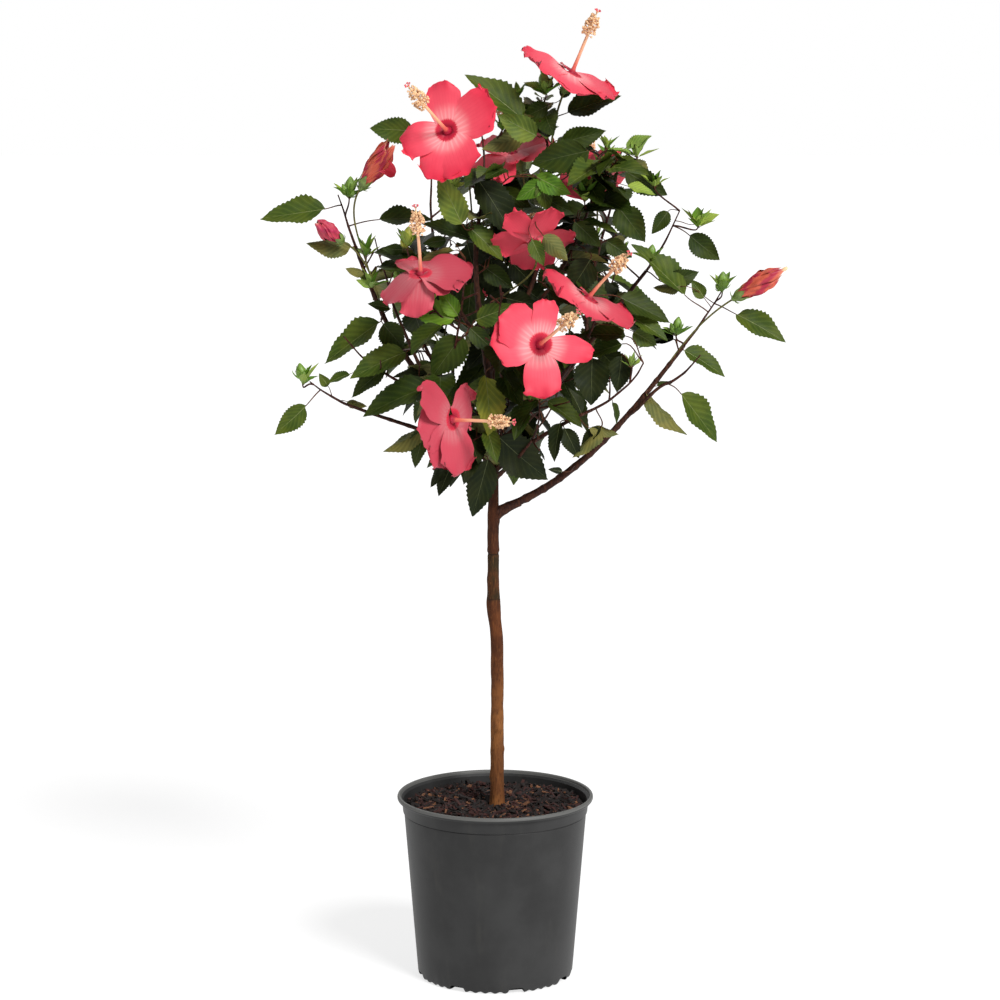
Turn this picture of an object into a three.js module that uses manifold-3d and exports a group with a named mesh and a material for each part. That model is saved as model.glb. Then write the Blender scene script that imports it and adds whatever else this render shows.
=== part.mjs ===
// Tree-form hibiscus in its nursery pot: pot, potting mix, trunk, boughs, foliage and blooms.
// Millimetres, +Z up. The origin is the centre of the pot's flat underside; -Y is the front.

import * as THREE from "three";
import { mergeVertices } from "three/addons/utils/BufferGeometryUtils.js";
import Module from "manifold-3d";

const wasm = await Module();
wasm.setup();

// Driving dimensions: pot and potting mix.
const gap = 0.35;                // air kept between neighbouring solids
const potHeight = 240;
const rimRadius = 127;
const footRadius = 98.5;
const wall = 2;
const floorThickness = 3;
const footChamfer = 3;
const lipHeight = 7;             // rolled lip
const lipOverhang = 7.5;         // how far the lip stands out past the wall
const lipWidth = 5;              // from its outer edge to its inner one
const bandHeight = 16;           // plain band under the lip
const bandProud = 1.5;
const ledgeDrop = 20;            // stacking ledge inside, below the rim
const ledgeWidth = 2.5;
const drainArches = 8;
const archWidth = 24;
const archHeight = 7;
const archShoulder = 2.5;        // height of the slanting corners of an arch
const archDepth = 22;
const archTurn = 0.35;           // first arch's place past the middle of the front, in arches
const potSegments = 32;
const soilLevel = 223;           // top of the potting mix at its rim
const soilCrown = 1.5;           // rise of the mix towards the trunk
const collarRadius = 26;         // flat of the mix that the trunk stands on
const moundRadius = 70;          // where the mix starts to rise towards it

// Trunk and boughs.
const trunkFoot = soilLevel + soilCrown + gap;
const trunkTop = 712;
const trunkFootWidth = 18;
const trunkTopWidth = 13;
const flareWidth = 3;            // extra width right at the foot
const flareHeight = 9;
const knuckleHeight = 490;
const knuckleWidth = 2.8;
const knuckleLength = 15;
const trunkShift = -5;           // sideways step of the trunk at its knuckle
const trunkOffset = 2.6;
const swayWidth = 1.25;          // gentle bends of the trunk, from front to back
const swayLength = 70;
const trunkSides = 10;
const boughSides = 5;
const boughSpacing = 50;         // about this far from ring to ring along a bough
const limbPull = 0.35;           // how far a limb keeps its first and last heading, of its length

// Blooms.
const petalLength = 52;
const petalHalfWidth = 29;
const petalThickness = 1.5;
const petalOverlap = 4;          // rise of one side of a petal over its neighbour
const petalSpring = 9;           // radius at which a petal bends outwards
const throatDepth = 24;
const columnLength = 80;
const calyxDrop = 34;            // from the eye down to the top of the flower stalk
const stalkFootWidth = 3;
const stalkSpacing = 30;
const furlLength = 68;           // a spent bloom

// Twigs and leaves.
const internode = 20;            // twig length between two leaves
const stemWidth = 3.6;           // twigs: main stem, side shoot and tip
const shootWidth = 2.8;
const stemCollar = 5;            // straight start of a main stem, square to its bough's tip
const twigTipWidth = 2.4;
const centreAt = 0.4;            // a mass's centre along its main stem
const twigLift = 0.14;           // how strongly a twig turns upwards at each step
const twigWander = 0.16;         // how far it may turn aside, and more with every other try
const twigTries = 5;
const twigAir = 2;               // half width of the clear way that a twig needs
const leafTurn = 137.5;          // degrees from one leaf to the next round the twig
const bladeLength = 72;
const levelHeight = 1000;        // leaves hang more steeply from here down to the trunk's top
const lowDroop = 0.75;
const tuftLeaf = 0.74;           // leaves at a twig's tip against the others
const leafThickness = 1.3;
const rootDepth = 0.4;           // how far past its twig's axis a leaf is rooted
const shootRootWidth = 1.2;      // side shoots are slimmer inside their stem
const leafFold = 0.3;            // rise of a leaf's edges over its midrib, against its half width
const widestAt = 0.4;            // where a blade is widest, against its length
const leafAir = 0.6;             // air kept round a leaf
const leafTries = 6;
const rootClearance = 9;         // a leaf may meet its own mass this close to its root
const beadStep = 4;              // spacing of the test beads along limbs and twigs

// Boughs: where each leaves its parent (0 foot, 1 tip), where it ends, its heading as it leaves
// and as it ends, and its width at foot and tip.
const boughs = {
  right_low: {
    on: "trunk", at: 0.795, tip: [240, -5, 828],
    leave: [0.9, 0, 0.3], end: [0.6, 0, 0.79], width: [11, 5],
  },
  right_mid: {
    on: "trunk", at: 0.9, tip: [122, -62, 754],
    leave: [0.6, -0.45, 0.6], end: [0.85, -0.1, 0.4], width: [7, 4],
  },
  right_high: {
    on: "trunk", at: 0.965, tip: [192, 18, 920],
    leave: [0.75, 0.1, 0.65], end: [0.62, 0, 0.78], width: [9, 4.4],
  },
  leader: {
    on: "trunk", at: 1, tip: [-20, -44, 994],
    leave: [0, -0.1, 1], end: [0.16, 0.2, 1], width: [11, 5],
  },
  left_high: {
    on: "trunk", at: 0.982, tip: [-176, -18, 956],
    leave: [-0.85, -0.1, 0.5], end: [-0.32, 0.22, 0.92], width: [9, 4.4],
  },
  left_low: {
    on: "trunk", at: 0.925, tip: [-186, -40, 757],
    leave: [-0.8, -0.2, 0.55], end: [-0.92, 0, 0.36], width: [7, 3.8],
  },
  front_left_low: {
    on: "trunk", at: 0.85, tip: [-26, -56, 678],
    leave: [-0.4, -0.7, 0.6], end: [-0.06, -0.8, 0.4], width: [6.5, 4.4],
  },
  front_right_low: {
    on: "trunk", at: 0.875, tip: [36, -64, 702],
    leave: [0.4, -0.6, 0.65], end: [0.45, -0.5, 0.72], width: [6.5, 4.4],
  },
  front: {
    on: "trunk", at: 0.95, tip: [8, -96, 800],
    leave: [0.1, -0.6, 0.75], end: [-0.05, -0.4, 0.9], width: [7, 4.4],
  },
  back_low: {
    on: "trunk", at: 0.89, tip: [22, 100, 724],
    leave: [0.1, 0.7, 0.6], end: [0.1, 0.75, 0.6], width: [7, 4.4],
  },
  back_left: {
    on: "trunk", at: 0.94, tip: [-90, 98, 810],
    leave: [-0.5, 0.6, 0.6], end: [-0.4, 0.45, 0.8], width: [7.5, 4.4],
  },
  back_right: {
    on: "trunk", at: 0.93, tip: [112, 104, 806],
    leave: [0.5, 0.6, 0.6], end: [0.45, 0.4, 0.8], width: [7.5, 4.4],
  },
  top: {
    on: "leader", at: 0.28, tip: [69, 6, 1040],
    leave: [0.5, 0.2, 0.85], end: [-0.05, 0.2, 1], width: [6.5, 4.4],
  },
  back_high: {
    on: "leader", at: 0.2, tip: [6, 92, 940],
    leave: [0.1, 0.7, 0.7], end: [0, 0.3, 0.95], width: [6.5, 4.4],
  },
  upper_left: {
    on: "leader", at: 0.42, tip: [-78, 22, 962],
    leave: [-0.6, 0.5, 0.6], end: [-0.2, 0.1, 1], width: [5.5, 4],
  },
  upper_right: {
    on: "top", at: 0.3, tip: [112, -32, 990],
    leave: [0.8, -0.3, 0.5], end: [0.4, 0, 0.92], width: [5, 3.8],
  },
  left_mid: {
    on: "left_high", at: 0.26, tip: [-122, -56, 790],
    leave: [-0.6, -0.5, 0.5], end: [-0.85, -0.15, 0.5], width: [5, 3.8],
  },
  front_left: {
    on: "left_high", at: 0.2, tip: [-52, -82, 822],
    leave: [-0.1, -0.85, 0.5], end: [0.05, -0.4, 0.9], width: [5.5, 4],
  },
  front_right: {
    on: "right_high", at: 0.3, tip: [112, -70, 840],
    leave: [0.4, -0.7, 0.5], end: [0.5, -0.3, 0.8], width: [5.5, 4],
  },
  right_back: {
    on: "right_high", at: 0.6, tip: [136, 54, 956],
    leave: [-0.1, 0.5, 0.85], end: [0.25, 0.1, 0.95], width: [5, 3.8],
  },
  right_side: {
    on: "right_low", at: 0.66, tip: [222, -38, 786],
    leave: [0.5, -0.7, 0.3], end: [0.85, -0.4, 0.3], width: [5, 3.8],
  },
  left_back: {
    on: "left_high", at: 0.36, tip: [-128, 66, 862],
    leave: [-0.2, 0.85, 0.4], end: [-0.35, 0.5, 0.8], width: [5, 3.8],
  },
};

// Foliage masses, one on each bough's tip: length of the main stem, number and length of side
// shoots, how far they lean from the stem in degrees, reach of the space, size of its leaves
// against the usual one, and the rule's seed.
const masses = {
  right_low: { stem: 82, shoots: 3, shoot: 44, lean: 52, reach: 120, leaf: 0.92, seed: 11 },
  right_mid: { stem: 110, shoots: 5, shoot: 60, lean: 58, reach: 110, leaf: 1, seed: 12 },
  right_high: { stem: 84, shoots: 4, shoot: 46, lean: 50, reach: 92, leaf: 0.9, seed: 13 },
  leader: { stem: 140, shoots: 7, shoot: 60, lean: 60, reach: 125, leaf: 1, seed: 14 },
  left_high: { stem: 64, shoots: 3, shoot: 46, lean: 62, reach: 118, leaf: 0.9, seed: 15 },
  left_low: { stem: 52, shoots: 2, shoot: 34, lean: 50, reach: 95, leaf: 0.72, seed: 16 },
  front_left_low: { stem: 90, shoots: 5, shoot: 54, lean: 68, reach: 104, leaf: 1.04, seed: 17 },
  front_right_low: { stem: 90, shoots: 5, shoot: 56, lean: 64, reach: 98, leaf: 1.04, seed: 18 },
  front: { stem: 110, shoots: 6, shoot: 62, lean: 64, reach: 118, leaf: 1, seed: 19 },
  back_low: { stem: 120, shoots: 5, shoot: 70, lean: 62, reach: 150, leaf: 1.04, seed: 20 },
  back_left: { stem: 130, shoots: 6, shoot: 74, lean: 62, reach: 140, leaf: 1.04, seed: 21 },
  back_right: { stem: 130, shoots: 6, shoot: 74, lean: 62, reach: 140, leaf: 1.04, seed: 22 },
  top: { stem: 90, shoots: 4, shoot: 46, lean: 62, reach: 96, leaf: 0.9, seed: 23 },
  back_high: { stem: 130, shoots: 6, shoot: 66, lean: 62, reach: 130, leaf: 1, seed: 24 },
  upper_left: { stem: 110, shoots: 5, shoot: 60, lean: 60, reach: 112, leaf: 1, seed: 25 },
  upper_right: { stem: 80, shoots: 4, shoot: 52, lean: 60, reach: 100, leaf: 0.95, seed: 26 },
  left_mid: { stem: 90, shoots: 4, shoot: 54, lean: 62, reach: 112, leaf: 1, seed: 32 },
  front_left: { stem: 90, shoots: 5, shoot: 60, lean: 66, reach: 112, leaf: 1, seed: 27 },
  front_right: { stem: 100, shoots: 5, shoot: 60, lean: 62, reach: 112, leaf: 1, seed: 28 },
  right_back: { stem: 96, shoots: 5, shoot: 50, lean: 56, reach: 98, leaf: 0.95, seed: 29 },
  right_side: { stem: 56, shoots: 3, shoot: 40, lean: 60, reach: 108, leaf: 1, seed: 30 },
  left_back: { stem: 96, shoots: 5, shoot: 56, lean: 60, reach: 105, leaf: 1, seed: 31 },
};

// Open blooms: the bough and place that the flower stalk grows from, the middle of the throat,
// the way it faces, its turn about that axis in degrees, and each petal's angle from the axis.
const blooms = {
  top: {
    on: "top", at: 0.74, eye: [99, -12, 1180], face: [0.36, -0.24, 0.9],
    turn: 14, flare: [86, 88, 92, 90, 88],
  },
  upper_left: {
    on: "leader", at: 0.72, eye: [-57, -112, 1114], face: [-0.27, -0.9, 0.34],
    turn: 0, flare: [84, 90, 96, 92, 86],
  },
  upper_back: {
    on: "back_high", at: 0.75, eye: [26, 66, 1072], face: [-0.25, 0.35, 0.9],
    turn: 30, flare: [96, 92, 90, 92, 96],
  },
  left: {
    on: "front_left", at: 0.8, eye: [-92, -122, 941], face: [0, -0.3, 0.95],
    turn: 18, flare: [96, 128, 132, 104, 88],
  },
  centre_high: {
    on: "leader", at: 0.55, eye: [48, -64, 974], face: [-0.1, 0.75, 0.65],
    turn: 0, flare: [88, 88, 92, 92, 90],
  },
  right: {
    on: "front_right", at: 0.7, eye: [120, -104, 907], face: [0.55, -0.2, 0.8],
    turn: 20, flare: [88, 92, 96, 92, 88],
  },
  centre: {
    on: "front", at: 0.85, eye: [57, -182, 856], face: [0.2, -0.94, 0.27],
    turn: 4, flare: [86, 90, 88, 92, 90],
  },
  lower_left: {
    on: "front_left_low", at: 0.45, eye: [-46, -176, 760], face: [0.85, -0.5, 0.05],
    turn: 8, flare: [88, 90, 92, 96, 90],
  },
  right_back: {
    on: "right_back", at: 0.8, eye: [126, 106, 1034], face: [-0.1, 0.75, 0.65],
    turn: 0, flare: [90, 88, 92, 92, 90],
  },
  back: {
    on: "back_left", at: 0.8, eye: [-52, 178, 880], face: [0.1, 0.95, 0.3],
    turn: 0, flare: [88, 90, 92, 94, 90],
  },
};

// Spent blooms, furled and twisted shut: the same, with the way that the furl points.
const spentBlooms = {
  left_high: { on: "left_high", at: 0.8, base: [-167, -40, 1034], face: [0.56, -0.1, 0.8] },
  left_side: { on: "left_high", at: 0.66, base: [-193, -42, 966], face: [-0.85, -0.15, 0.45] },
  right_low: { on: "right_low", at: 0.84, base: [304, -14, 890], face: [0.82, -0.1, 0.5] },
};

const up = new THREE.Vector3(0, 0, 1);
const xAxis = new THREE.Vector3(1, 0, 0);
const yAxis = new THREE.Vector3(0, 1, 0);
const vector = (values) => new THREE.Vector3(...values);
const direction = (values) => vector(values).normalize();
const step = (point, heading, distance) => point.clone().addScaledVector(heading, distance);
const blend = (low, high, t) => low + (high - low) * t;
const radians = (degrees) => degrees * Math.PI / 180;

// A small repeatable random source: each call gives the next value between two limits.
function seeded(seed) {
  let state = (seed * 48271 + 11) % 2147483647;
  return (low, high) => {
    state = (state * 16807) % 2147483647;
    return low + (high - low) * state / 2147483647;
  };
}

function crossVector(a, b) {
  return new THREE.Vector3().crossVectors(a, b);
}

function sideOf(heading) {
  const reference = Math.abs(heading.z) < 0.9 ? up : xAxis;
  return crossVector(heading, reference).normalize();
}

// Solids.

function solidOf(points, triangles) {
  const vertProperties = new Float32Array(points.flatMap((point) => [point.x, point.y, point.z]));
  const triVerts = new Uint32Array(triangles.flat());
  return new wasm.Manifold(new wasm.Mesh({ numProp: 3, vertProperties, triVerts }));
}

function solidFromGeometry(geometry) {
  geometry.deleteAttribute("normal");
  geometry.deleteAttribute("uv");
  const merged = mergeVertices(geometry, 1e-4);
  const position = merged.getAttribute("position");
  const points = [];
  for (let i = 0; i < position.count; i += 1) {
    points.push(new THREE.Vector3().fromBufferAttribute(position, i));
  }
  const index = merged.getIndex().array;
  const triangles = [];
  for (let i = 0; i < index.length; i += 3) {
    const [a, b, c] = [index[i], index[i + 1], index[i + 2]];
    if (a !== b && b !== c && c !== a) triangles.push([a, b, c]);
  }
  return solidOf(points, triangles);
}

// Turned about +Z from [radius, height] pairs that run from the axis at the foot, out and up,
// and back to the axis.
function turned(profile, segments) {
  const points = profile.map(([radius, height]) => new THREE.Vector2(radius, height));
  const geometry = new THREE.LatheGeometry(points, segments);
  geometry.rotateX(Math.PI / 2);
  return solidFromGeometry(geometry);
}

// Rings of points joined into one closed skin; each ring may have its own count.
function ringSolid(rings) {
  const points = rings.flat();
  const starts = [];
  rings.reduce((start, ring) => {
    starts.push(start);
    return start + ring.length;
  }, 0);
  const triangles = [];
  const capFan = (start, count, flip) => {
    for (let i = 1; i < count - 1; i += 1) {
      triangles.push(flip ? [start, start + i + 1, start + i] : [start, start + i, start + i + 1]);
    }
  };
  capFan(starts[0], rings[0].length, true);
  for (let k = 0; k < rings.length - 1; k += 1) {
    const [a, b] = [starts[k], starts[k + 1]];
    const [m, n] = [rings[k].length, rings[k + 1].length];
    let [i, j] = [0, 0];
    while (i < m || j < n) {
      const lower = a + (i % m);
      const upper = b + (j % n);
      const advanceLower = n === 1 || (m > 1 && i < m && (i + 0.5) / m <= (j + 0.5) / n);
      if (advanceLower && i < m) {
        triangles.push([lower, a + ((i + 1) % m), upper]);
        i += 1;
      } else if (n > 1 && j < n) {
        triangles.push([lower, b + ((j + 1) % n), upper]);
        j += 1;
      } else {
        break;
      }
    }
  }
  capFan(starts[rings.length - 1], rings[rings.length - 1].length, false);
  return solidOf(points, triangles);
}

function ringAround(point, side, other, radius, sides, turn = 0) {
  return Array.from({ length: sides }, (_, i) => {
    const angle = radians(turn) + 2 * Math.PI * i / sides;
    return step(step(point, side, radius * Math.cos(angle)), other, radius * Math.sin(angle));
  });
}

function carried(side, heading) {
  return step(side, heading, -side.dot(heading)).normalize();
}

// Rings of a tapering tube along a list of points. Its frame is carried along, with a twist of
// its own from ring to ring where the twig's flats have to face its leaves.
function tubeRings(path, radii, sides, turn = 0, twist = 0) {
  let side = null;
  return path.map((point, k) => {
    const before = path[Math.max(0, k - 1)];
    const after = path[Math.min(path.length - 1, k + 1)];
    const heading = after.clone().sub(before).normalize();
    side = side ? carried(side, heading) : sideOf(heading);
    return ringAround(point, side, crossVector(heading, side), radii[k], sides, turn + twist * k);
  });
}

function largestPart(solid) {
  return solid.decompose().reduce((best, piece) => (piece.volume() > best.volume() ? piece : best));
}

function join(solids) {
  return solids.reduce((whole, solid) => whole.add(solid));
}

// Beads: round test points along everything that leaves and twigs must keep clear of.
const crowd = [];

function addBeads(path, radii, owner) {
  for (let k = 0; k < path.length - 1; k += 1) {
    const count = Math.max(1, Math.ceil(path[k].distanceTo(path[k + 1]) / beadStep));
    for (let i = 0; i <= count; i += 1) {
      const t = i / count;
      const at = path[k].clone().lerp(path[k + 1], t);
      crowd.push({ at, radius: blend(radii[k], radii[k + 1], t), owner });
    }
  }
}

// Trunk and boughs.

function trunkPoint(height) {
  const bend = THREE.MathUtils.smoothstep(height, knuckleHeight - 60, knuckleHeight + 10);
  const sway = swayWidth * Math.sin((height - trunkFoot) / swayLength);
  return new THREE.Vector3(trunkOffset + trunkShift * bend, sway, height);
}

function trunkRadius(height) {
  const rise = (height - trunkFoot) / (trunkTop - trunkFoot);
  const flare = flareWidth * Math.exp(-(height - trunkFoot) / flareHeight);
  const knuckle = knuckleWidth * Math.exp(-(((height - knuckleHeight) / knuckleLength) ** 2));
  return (blend(trunkFootWidth, trunkTopWidth, rise) + flare + knuckle) / 2;
}

const limbs = {};

function makeTrunk() {
  const heights = [0, 6, 16, 60, 110, 160, 210, 240, 256, 266, 276, 292, 330, 380, 430];
  const levels = [...heights.map((height) => trunkFoot + height), trunkTop];
  limbs.trunk = { path: levels.map(trunkPoint), radii: levels.map(trunkRadius), sides: trunkSides };
}

function limbPoint(limb, at) {
  const place = at * (limb.path.length - 1);
  const k = Math.min(Math.floor(place), limb.path.length - 2);
  return limb.path[k].clone().lerp(limb.path[k + 1], place - k);
}

function trunkPlace(at) {
  return trunkPoint(blend(trunkFoot, trunkTop, at));
}

// A limb that leaves its parent and ends at its tip along one smooth cubic curve.
function makeLimb(name, spec, sides, spacing) {
  const foot = spec.on === "trunk" ? trunkPlace(spec.at) : limbPoint(limbs[spec.on], spec.at);
  const tip = vector(spec.tip);
  const pull = limbPull * foot.distanceTo(tip);
  const first = step(foot, direction(spec.leave), pull);
  const last = step(tip, direction(spec.end), -pull);
  const curve = new THREE.CubicBezierCurve3(foot, first, last, tip);
  const count = Math.max(4, Math.round(foot.distanceTo(tip) / spacing));
  const path = Array.from({ length: count + 1 }, (_, i) => curve.getPoint(i / count));
  const radii = path.map((_, i) => blend(spec.width[0], spec.width[1], i / count) / 2);
  limbs[name] = { path, radii, sides, on: spec.on };
}

// The limb's solid, grown outwards by some air where its neighbours are cut by it.
function limbSolid(limb, air = 0) {
  const path = limb.path.map((point) => point.clone());
  const last = path.length - 1;
  const heading = path[last].clone().sub(path[last - 1]).normalize();
  path[last].addScaledVector(heading, air);
  return ringSolid(tubeRings(path, limb.radii.map((radius) => radius + air * 1.3), limb.sides));
}

// Blooms.

const columnProfile = [[5, -10], [2.2, -6], [1.9, 44], [4.4, 51], [4.4, 72]];
const furlProfile = [[6.5, 6], [7, 16], [11, 38], [6.5, 58]];

// Petal surface in the bloom's own frame, its axis along +Z: u runs from throat to edge and
// v across, from -1 to 1.
function petalPoint(u, v, index, turn, flare) {
  const angle = radians(flare);
  const edge = [petalSpring + petalLength * Math.sin(angle), petalLength * Math.cos(angle)];
  const out = u * (2 - u) * (1 - 0.1 * v * v);
  const radius = (1 - out) ** 2 * 3 + 2 * out * (1 - out) * petalSpring + out ** 2 * edge[0];
  const height = (1 - out) ** 2 * (2 - throatDepth) + out ** 2 * edge[1];
  const width = petalHalfWidth * Math.sin(Math.PI * (0.08 + 0.62 * u)) * (u < 0.8 ? 1 : 0.9);
  const point = new THREE.Vector3(radius, width * v, height + petalOverlap * v * u);
  return point.applyAxisAngle(up, radians(72 * index + turn));
}

function petalFace(u, v, index, spec, lift) {
  const at = (s, t) => petalPoint(s, t, index, spec.turn, spec.flare[index % 5]);
  const along = at(u + 0.05, v).sub(at(u - 0.05, v));
  const across = at(u, v + 0.1).sub(at(u, v - 0.1));
  return step(at(u, v), crossVector(along, across).normalize(), lift);
}

// Rings of the corolla: out along the petals' undersides and back in along their faces. Halfway
// out the petals meet their neighbours, and past that each has a lobe of its own.
function corollaRings(spec) {
  const petals = [0, 1, 2, 3, 4];
  const middleRing = (lift) => petals.flatMap((index) => {
    const left = petalFace(0.5, -1, index, spec, lift);
    const right = petalFace(0.5, 1, (index + 4) % 5, spec, lift);
    return [left.lerp(right, 0.5), petalFace(0.5, 0, index, spec, lift)];
  });
  const edgeRing = (lift) => petals.flatMap((index) => (
    [[0.88, -1], [1, -0.4], [1, 0.4], [0.88, 1]].map(([u, v]) => petalFace(u, v, index, spec, lift))
  ));
  const half = petalThickness / 2;
  return [middleRing(-half), edgeRing(-half), edgeRing(half), middleRing(half)];
}

// A ring round the bloom's axis, its first corner between two petals.
function axisRing(radius, height, turn) {
  return ringAround(new THREE.Vector3(0, 0, height), xAxis, yAxis, radius, 5, turn - 36);
}

function bloomFrame(face) {
  return new THREE.Quaternion().setFromUnitVectors(up, direction(face));
}

function inFrame(point, frame, origin) {
  return point.clone().applyQuaternion(frame).add(origin);
}

// Stalk rings end square to the bloom's axis, with corners in line with the bloom's own.
function stalkRings(limb, frame, turn) {
  const sideAtTip = xAxis.clone().applyQuaternion(frame);
  const last = limb.path.length - 1;
  let side = sideAtTip;
  const rings = [];
  for (let k = last; k >= 0; k -= 1) {
    const before = limb.path[Math.max(0, k - 1)];
    const after = limb.path[Math.min(last, k + 1)];
    const heading = after.clone().sub(before).normalize();
    side = carried(side, heading);
    rings.unshift(ringAround(limb.path[k], side, crossVector(heading, side), limb.radii[k], 5, turn - 36));
  }
  return rings;
}

function makeBloom(name, spec) {
  const frame = bloomFrame(spec.face);
  const eye = vector(spec.eye);
  const stalk = `stalk_${name}`;
  const heading = direction(spec.face);
  const tip = step(eye, heading, -calyxDrop);
  makeStalk(stalk, spec, tip, 4.4);
  const throat = step(eye, heading, -throatDepth);
  for (let index = 0; index < 5; index += 1) {
    for (const v of [-1, -0.6, -0.2, 0.2, 0.6, 1]) {
      const alongPetal = [0.25, 0.5, 0.75, 1].map((u) => petalFace(u, v, index, spec, 0));
      const line = alongPetal.map((point) => inFrame(point, frame, eye));
      addBeads([throat, ...line], [8, 8, 5, 5, 5], "bloom");
    }
  }
  const axis = [-30, -8, columnLength].map((height) => step(eye, heading, height));
  addBeads(axis, [8, 8, 5], "bloom");
  const own = [
    axisRing(7, -throatDepth, spec.turn),
    ...corollaRings(spec),
    ...columnProfile.map(([radius, height]) => axisRing(radius, height, spec.turn)),
    [new THREE.Vector3(0, 0, columnLength)],
  ];
  const rings = own.map((ring) => ring.map((point) => inFrame(point, frame, eye)));
  return { stalk, body: ringSolid([...stalkRings(limbs[stalk], frame, spec.turn), ...rings]) };
}

function makeStalk(name, spec, tip, tipWidth) {
  const out = tip.clone().sub(limbPoint(limbs[spec.on], spec.at)).normalize();
  const leave = [out.x, out.y, out.z + 0.3];
  const width = [stalkFootWidth, tipWidth];
  const stalk = { on: spec.on, at: spec.at, tip: tip.toArray(), leave, end: spec.face, width };
  makeLimb(name, stalk, boughSides, stalkSpacing);
}

function makeSpentBloom(name, spec) {
  const frame = bloomFrame(spec.face);
  const base = vector(spec.base);
  const stalk = `stalk_spent_${name}`;
  makeStalk(stalk, spec, base, 4);
  const axis = [-4, 36, 66].map((height) => step(base, direction(spec.face), height));
  addBeads(axis, [8, 12, 7], "bloom");
  const furl = furlProfile.map(([radius, height]) => axisRing(radius, height, 0));
  const own = [...furl, [new THREE.Vector3(0, 0, furlLength)]];
  const rings = own.map((ring) => ring.map((point) => inFrame(point, frame, base)));
  return { stalk, body: ringSolid([...stalkRings(limbs[stalk], frame, 0), ...rings]) };
}

// Foliage: each mass keeps to a ball round its centre, cut by the planes that part it from the
// other masses. Twigs grow first, in every mass, and leaves then take what room is left.

function prepareMasses() {
  for (const [name, mass] of Object.entries(masses)) {
    const limb = limbs[name];
    const last = limb.path.length - 1;
    mass.name = name;
    mass.heading = limb.path[last].clone().sub(limb.path[last - 1]).normalize();
    mass.foot = step(limb.path[last], mass.heading, gap);
    mass.centre = step(mass.foot, mass.heading, centreAt * mass.stem);
    mass.width = limb.radii[last] * 2;
    mass.random = seeded(mass.seed);
    mass.twigs = [];
    mass.nodes = [];
    mass.leaves = [];
  }
}

function insideSpace(mass, point, margin) {
  const own = point.distanceToSquared(mass.centre);
  if (own > (mass.reach - margin) ** 2) return false;
  return Object.values(masses).every((other) => {
    if (other === mass) return true;
    const apart = 2 * margin * mass.centre.distanceTo(other.centre);
    return point.distanceToSquared(other.centre) - own > apart;
  });
}

function touchesSolids(point, radius, own) {
  return crowd.some((bead) => (
    bead.owner !== own && bead.at.distanceToSquared(point) < (bead.radius + radius + leafAir) ** 2
  ));
}

function outwardAt(heading, side, turn) {
  const other = crossVector(heading, side);
  return step(side.clone().multiplyScalar(Math.cos(radians(turn))), other, Math.sin(radians(turn)));
}

// The next point of a twig, or nothing where every try leaves the space or meets a solid.
function nextPoint(mass, from, aim, distance, own) {
  for (let attempt = 0; attempt < twigTries; attempt += 1) {
    const spread = twigWander * (1 + attempt / 2);
    const wander = [mass.random(-spread, spread), mass.random(-spread, spread), twigLift];
    const heading = aim.clone().add(vector(wander)).normalize();
    const point = step(from, heading, distance);
    const way = [0.2, 0.4, 0.6, 0.8, 1].map((t) => from.clone().lerp(point, t));
    const blocked = way.some((place) => touchesSolids(place, twigAir, own));
    if (!blocked && insideSpace(mass, point, 2 * twigAir)) return { point, heading };
  }
  return null;
}

function growTwig(mass, foot, heading, length, width, order) {
  const count = Math.max(2, Math.round(length / internode));
  const path = order === 0 ? [foot, step(foot, heading, stemCollar)] : [foot];
  const radii = order === 0 ? [width / 2, width / 2] : [shootRootWidth / 2];
  const start = path.length;
  const firstTurn = mass.random(0, 360);
  const nodes = [];
  let aim = heading;
  let side = sideOf(heading);
  for (let i = 1; i <= count; i += 1) {
    const from = path[path.length - 1];
    const own = order === 0 && i === 1 ? mass.name : "";
    const next = nextPoint(mass, from, aim, length / count, own);
    if (!next) break;
    aim = next.heading;
    side = carried(side, aim);
    path.push(next.point);
    radii.push(blend(width, twigTipWidth, i / count) / 2);
    const turn = firstTurn + leafTurn * i;
    nodes.push({ from, point: next.point, heading: aim, side, turn, last: false });
  }
  if (nodes.length === 0) return null;
  nodes[nodes.length - 1].last = true;
  const twig = { path, radii, nodes, turn: firstTurn + leafTurn * (1 - start) };
  mass.twigs.push(twig);
  mass.nodes.push(...nodes);
  return twig;
}

// The main stem, and a side shoot in the axil of each leaf on it from the first one up.
function growTwigs(mass) {
  const stem = growTwig(mass, mass.foot, mass.heading, mass.stem, Math.min(mass.width, stemWidth), 0);
  const lean = radians(mass.lean);
  stem.nodes.forEach((node, k) => {
    if (k >= mass.shoots) return;
    const foot = node.last
      ? node.from.clone().lerp(node.point, 0.5)
      : node.point.clone().lerp(stem.nodes[k + 1].point, 0.12);
    const out = outwardAt(node.heading, node.side, node.turn + (node.last ? 120 : 0));
    const forward = node.heading.clone().multiplyScalar(Math.cos(lean));
    const heading = step(forward, out, Math.sin(lean)).normalize();
    growTwig(mass, foot, heading, mass.shoot * mass.random(0.8, 1.2), shootWidth, 1);
  });
}

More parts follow.
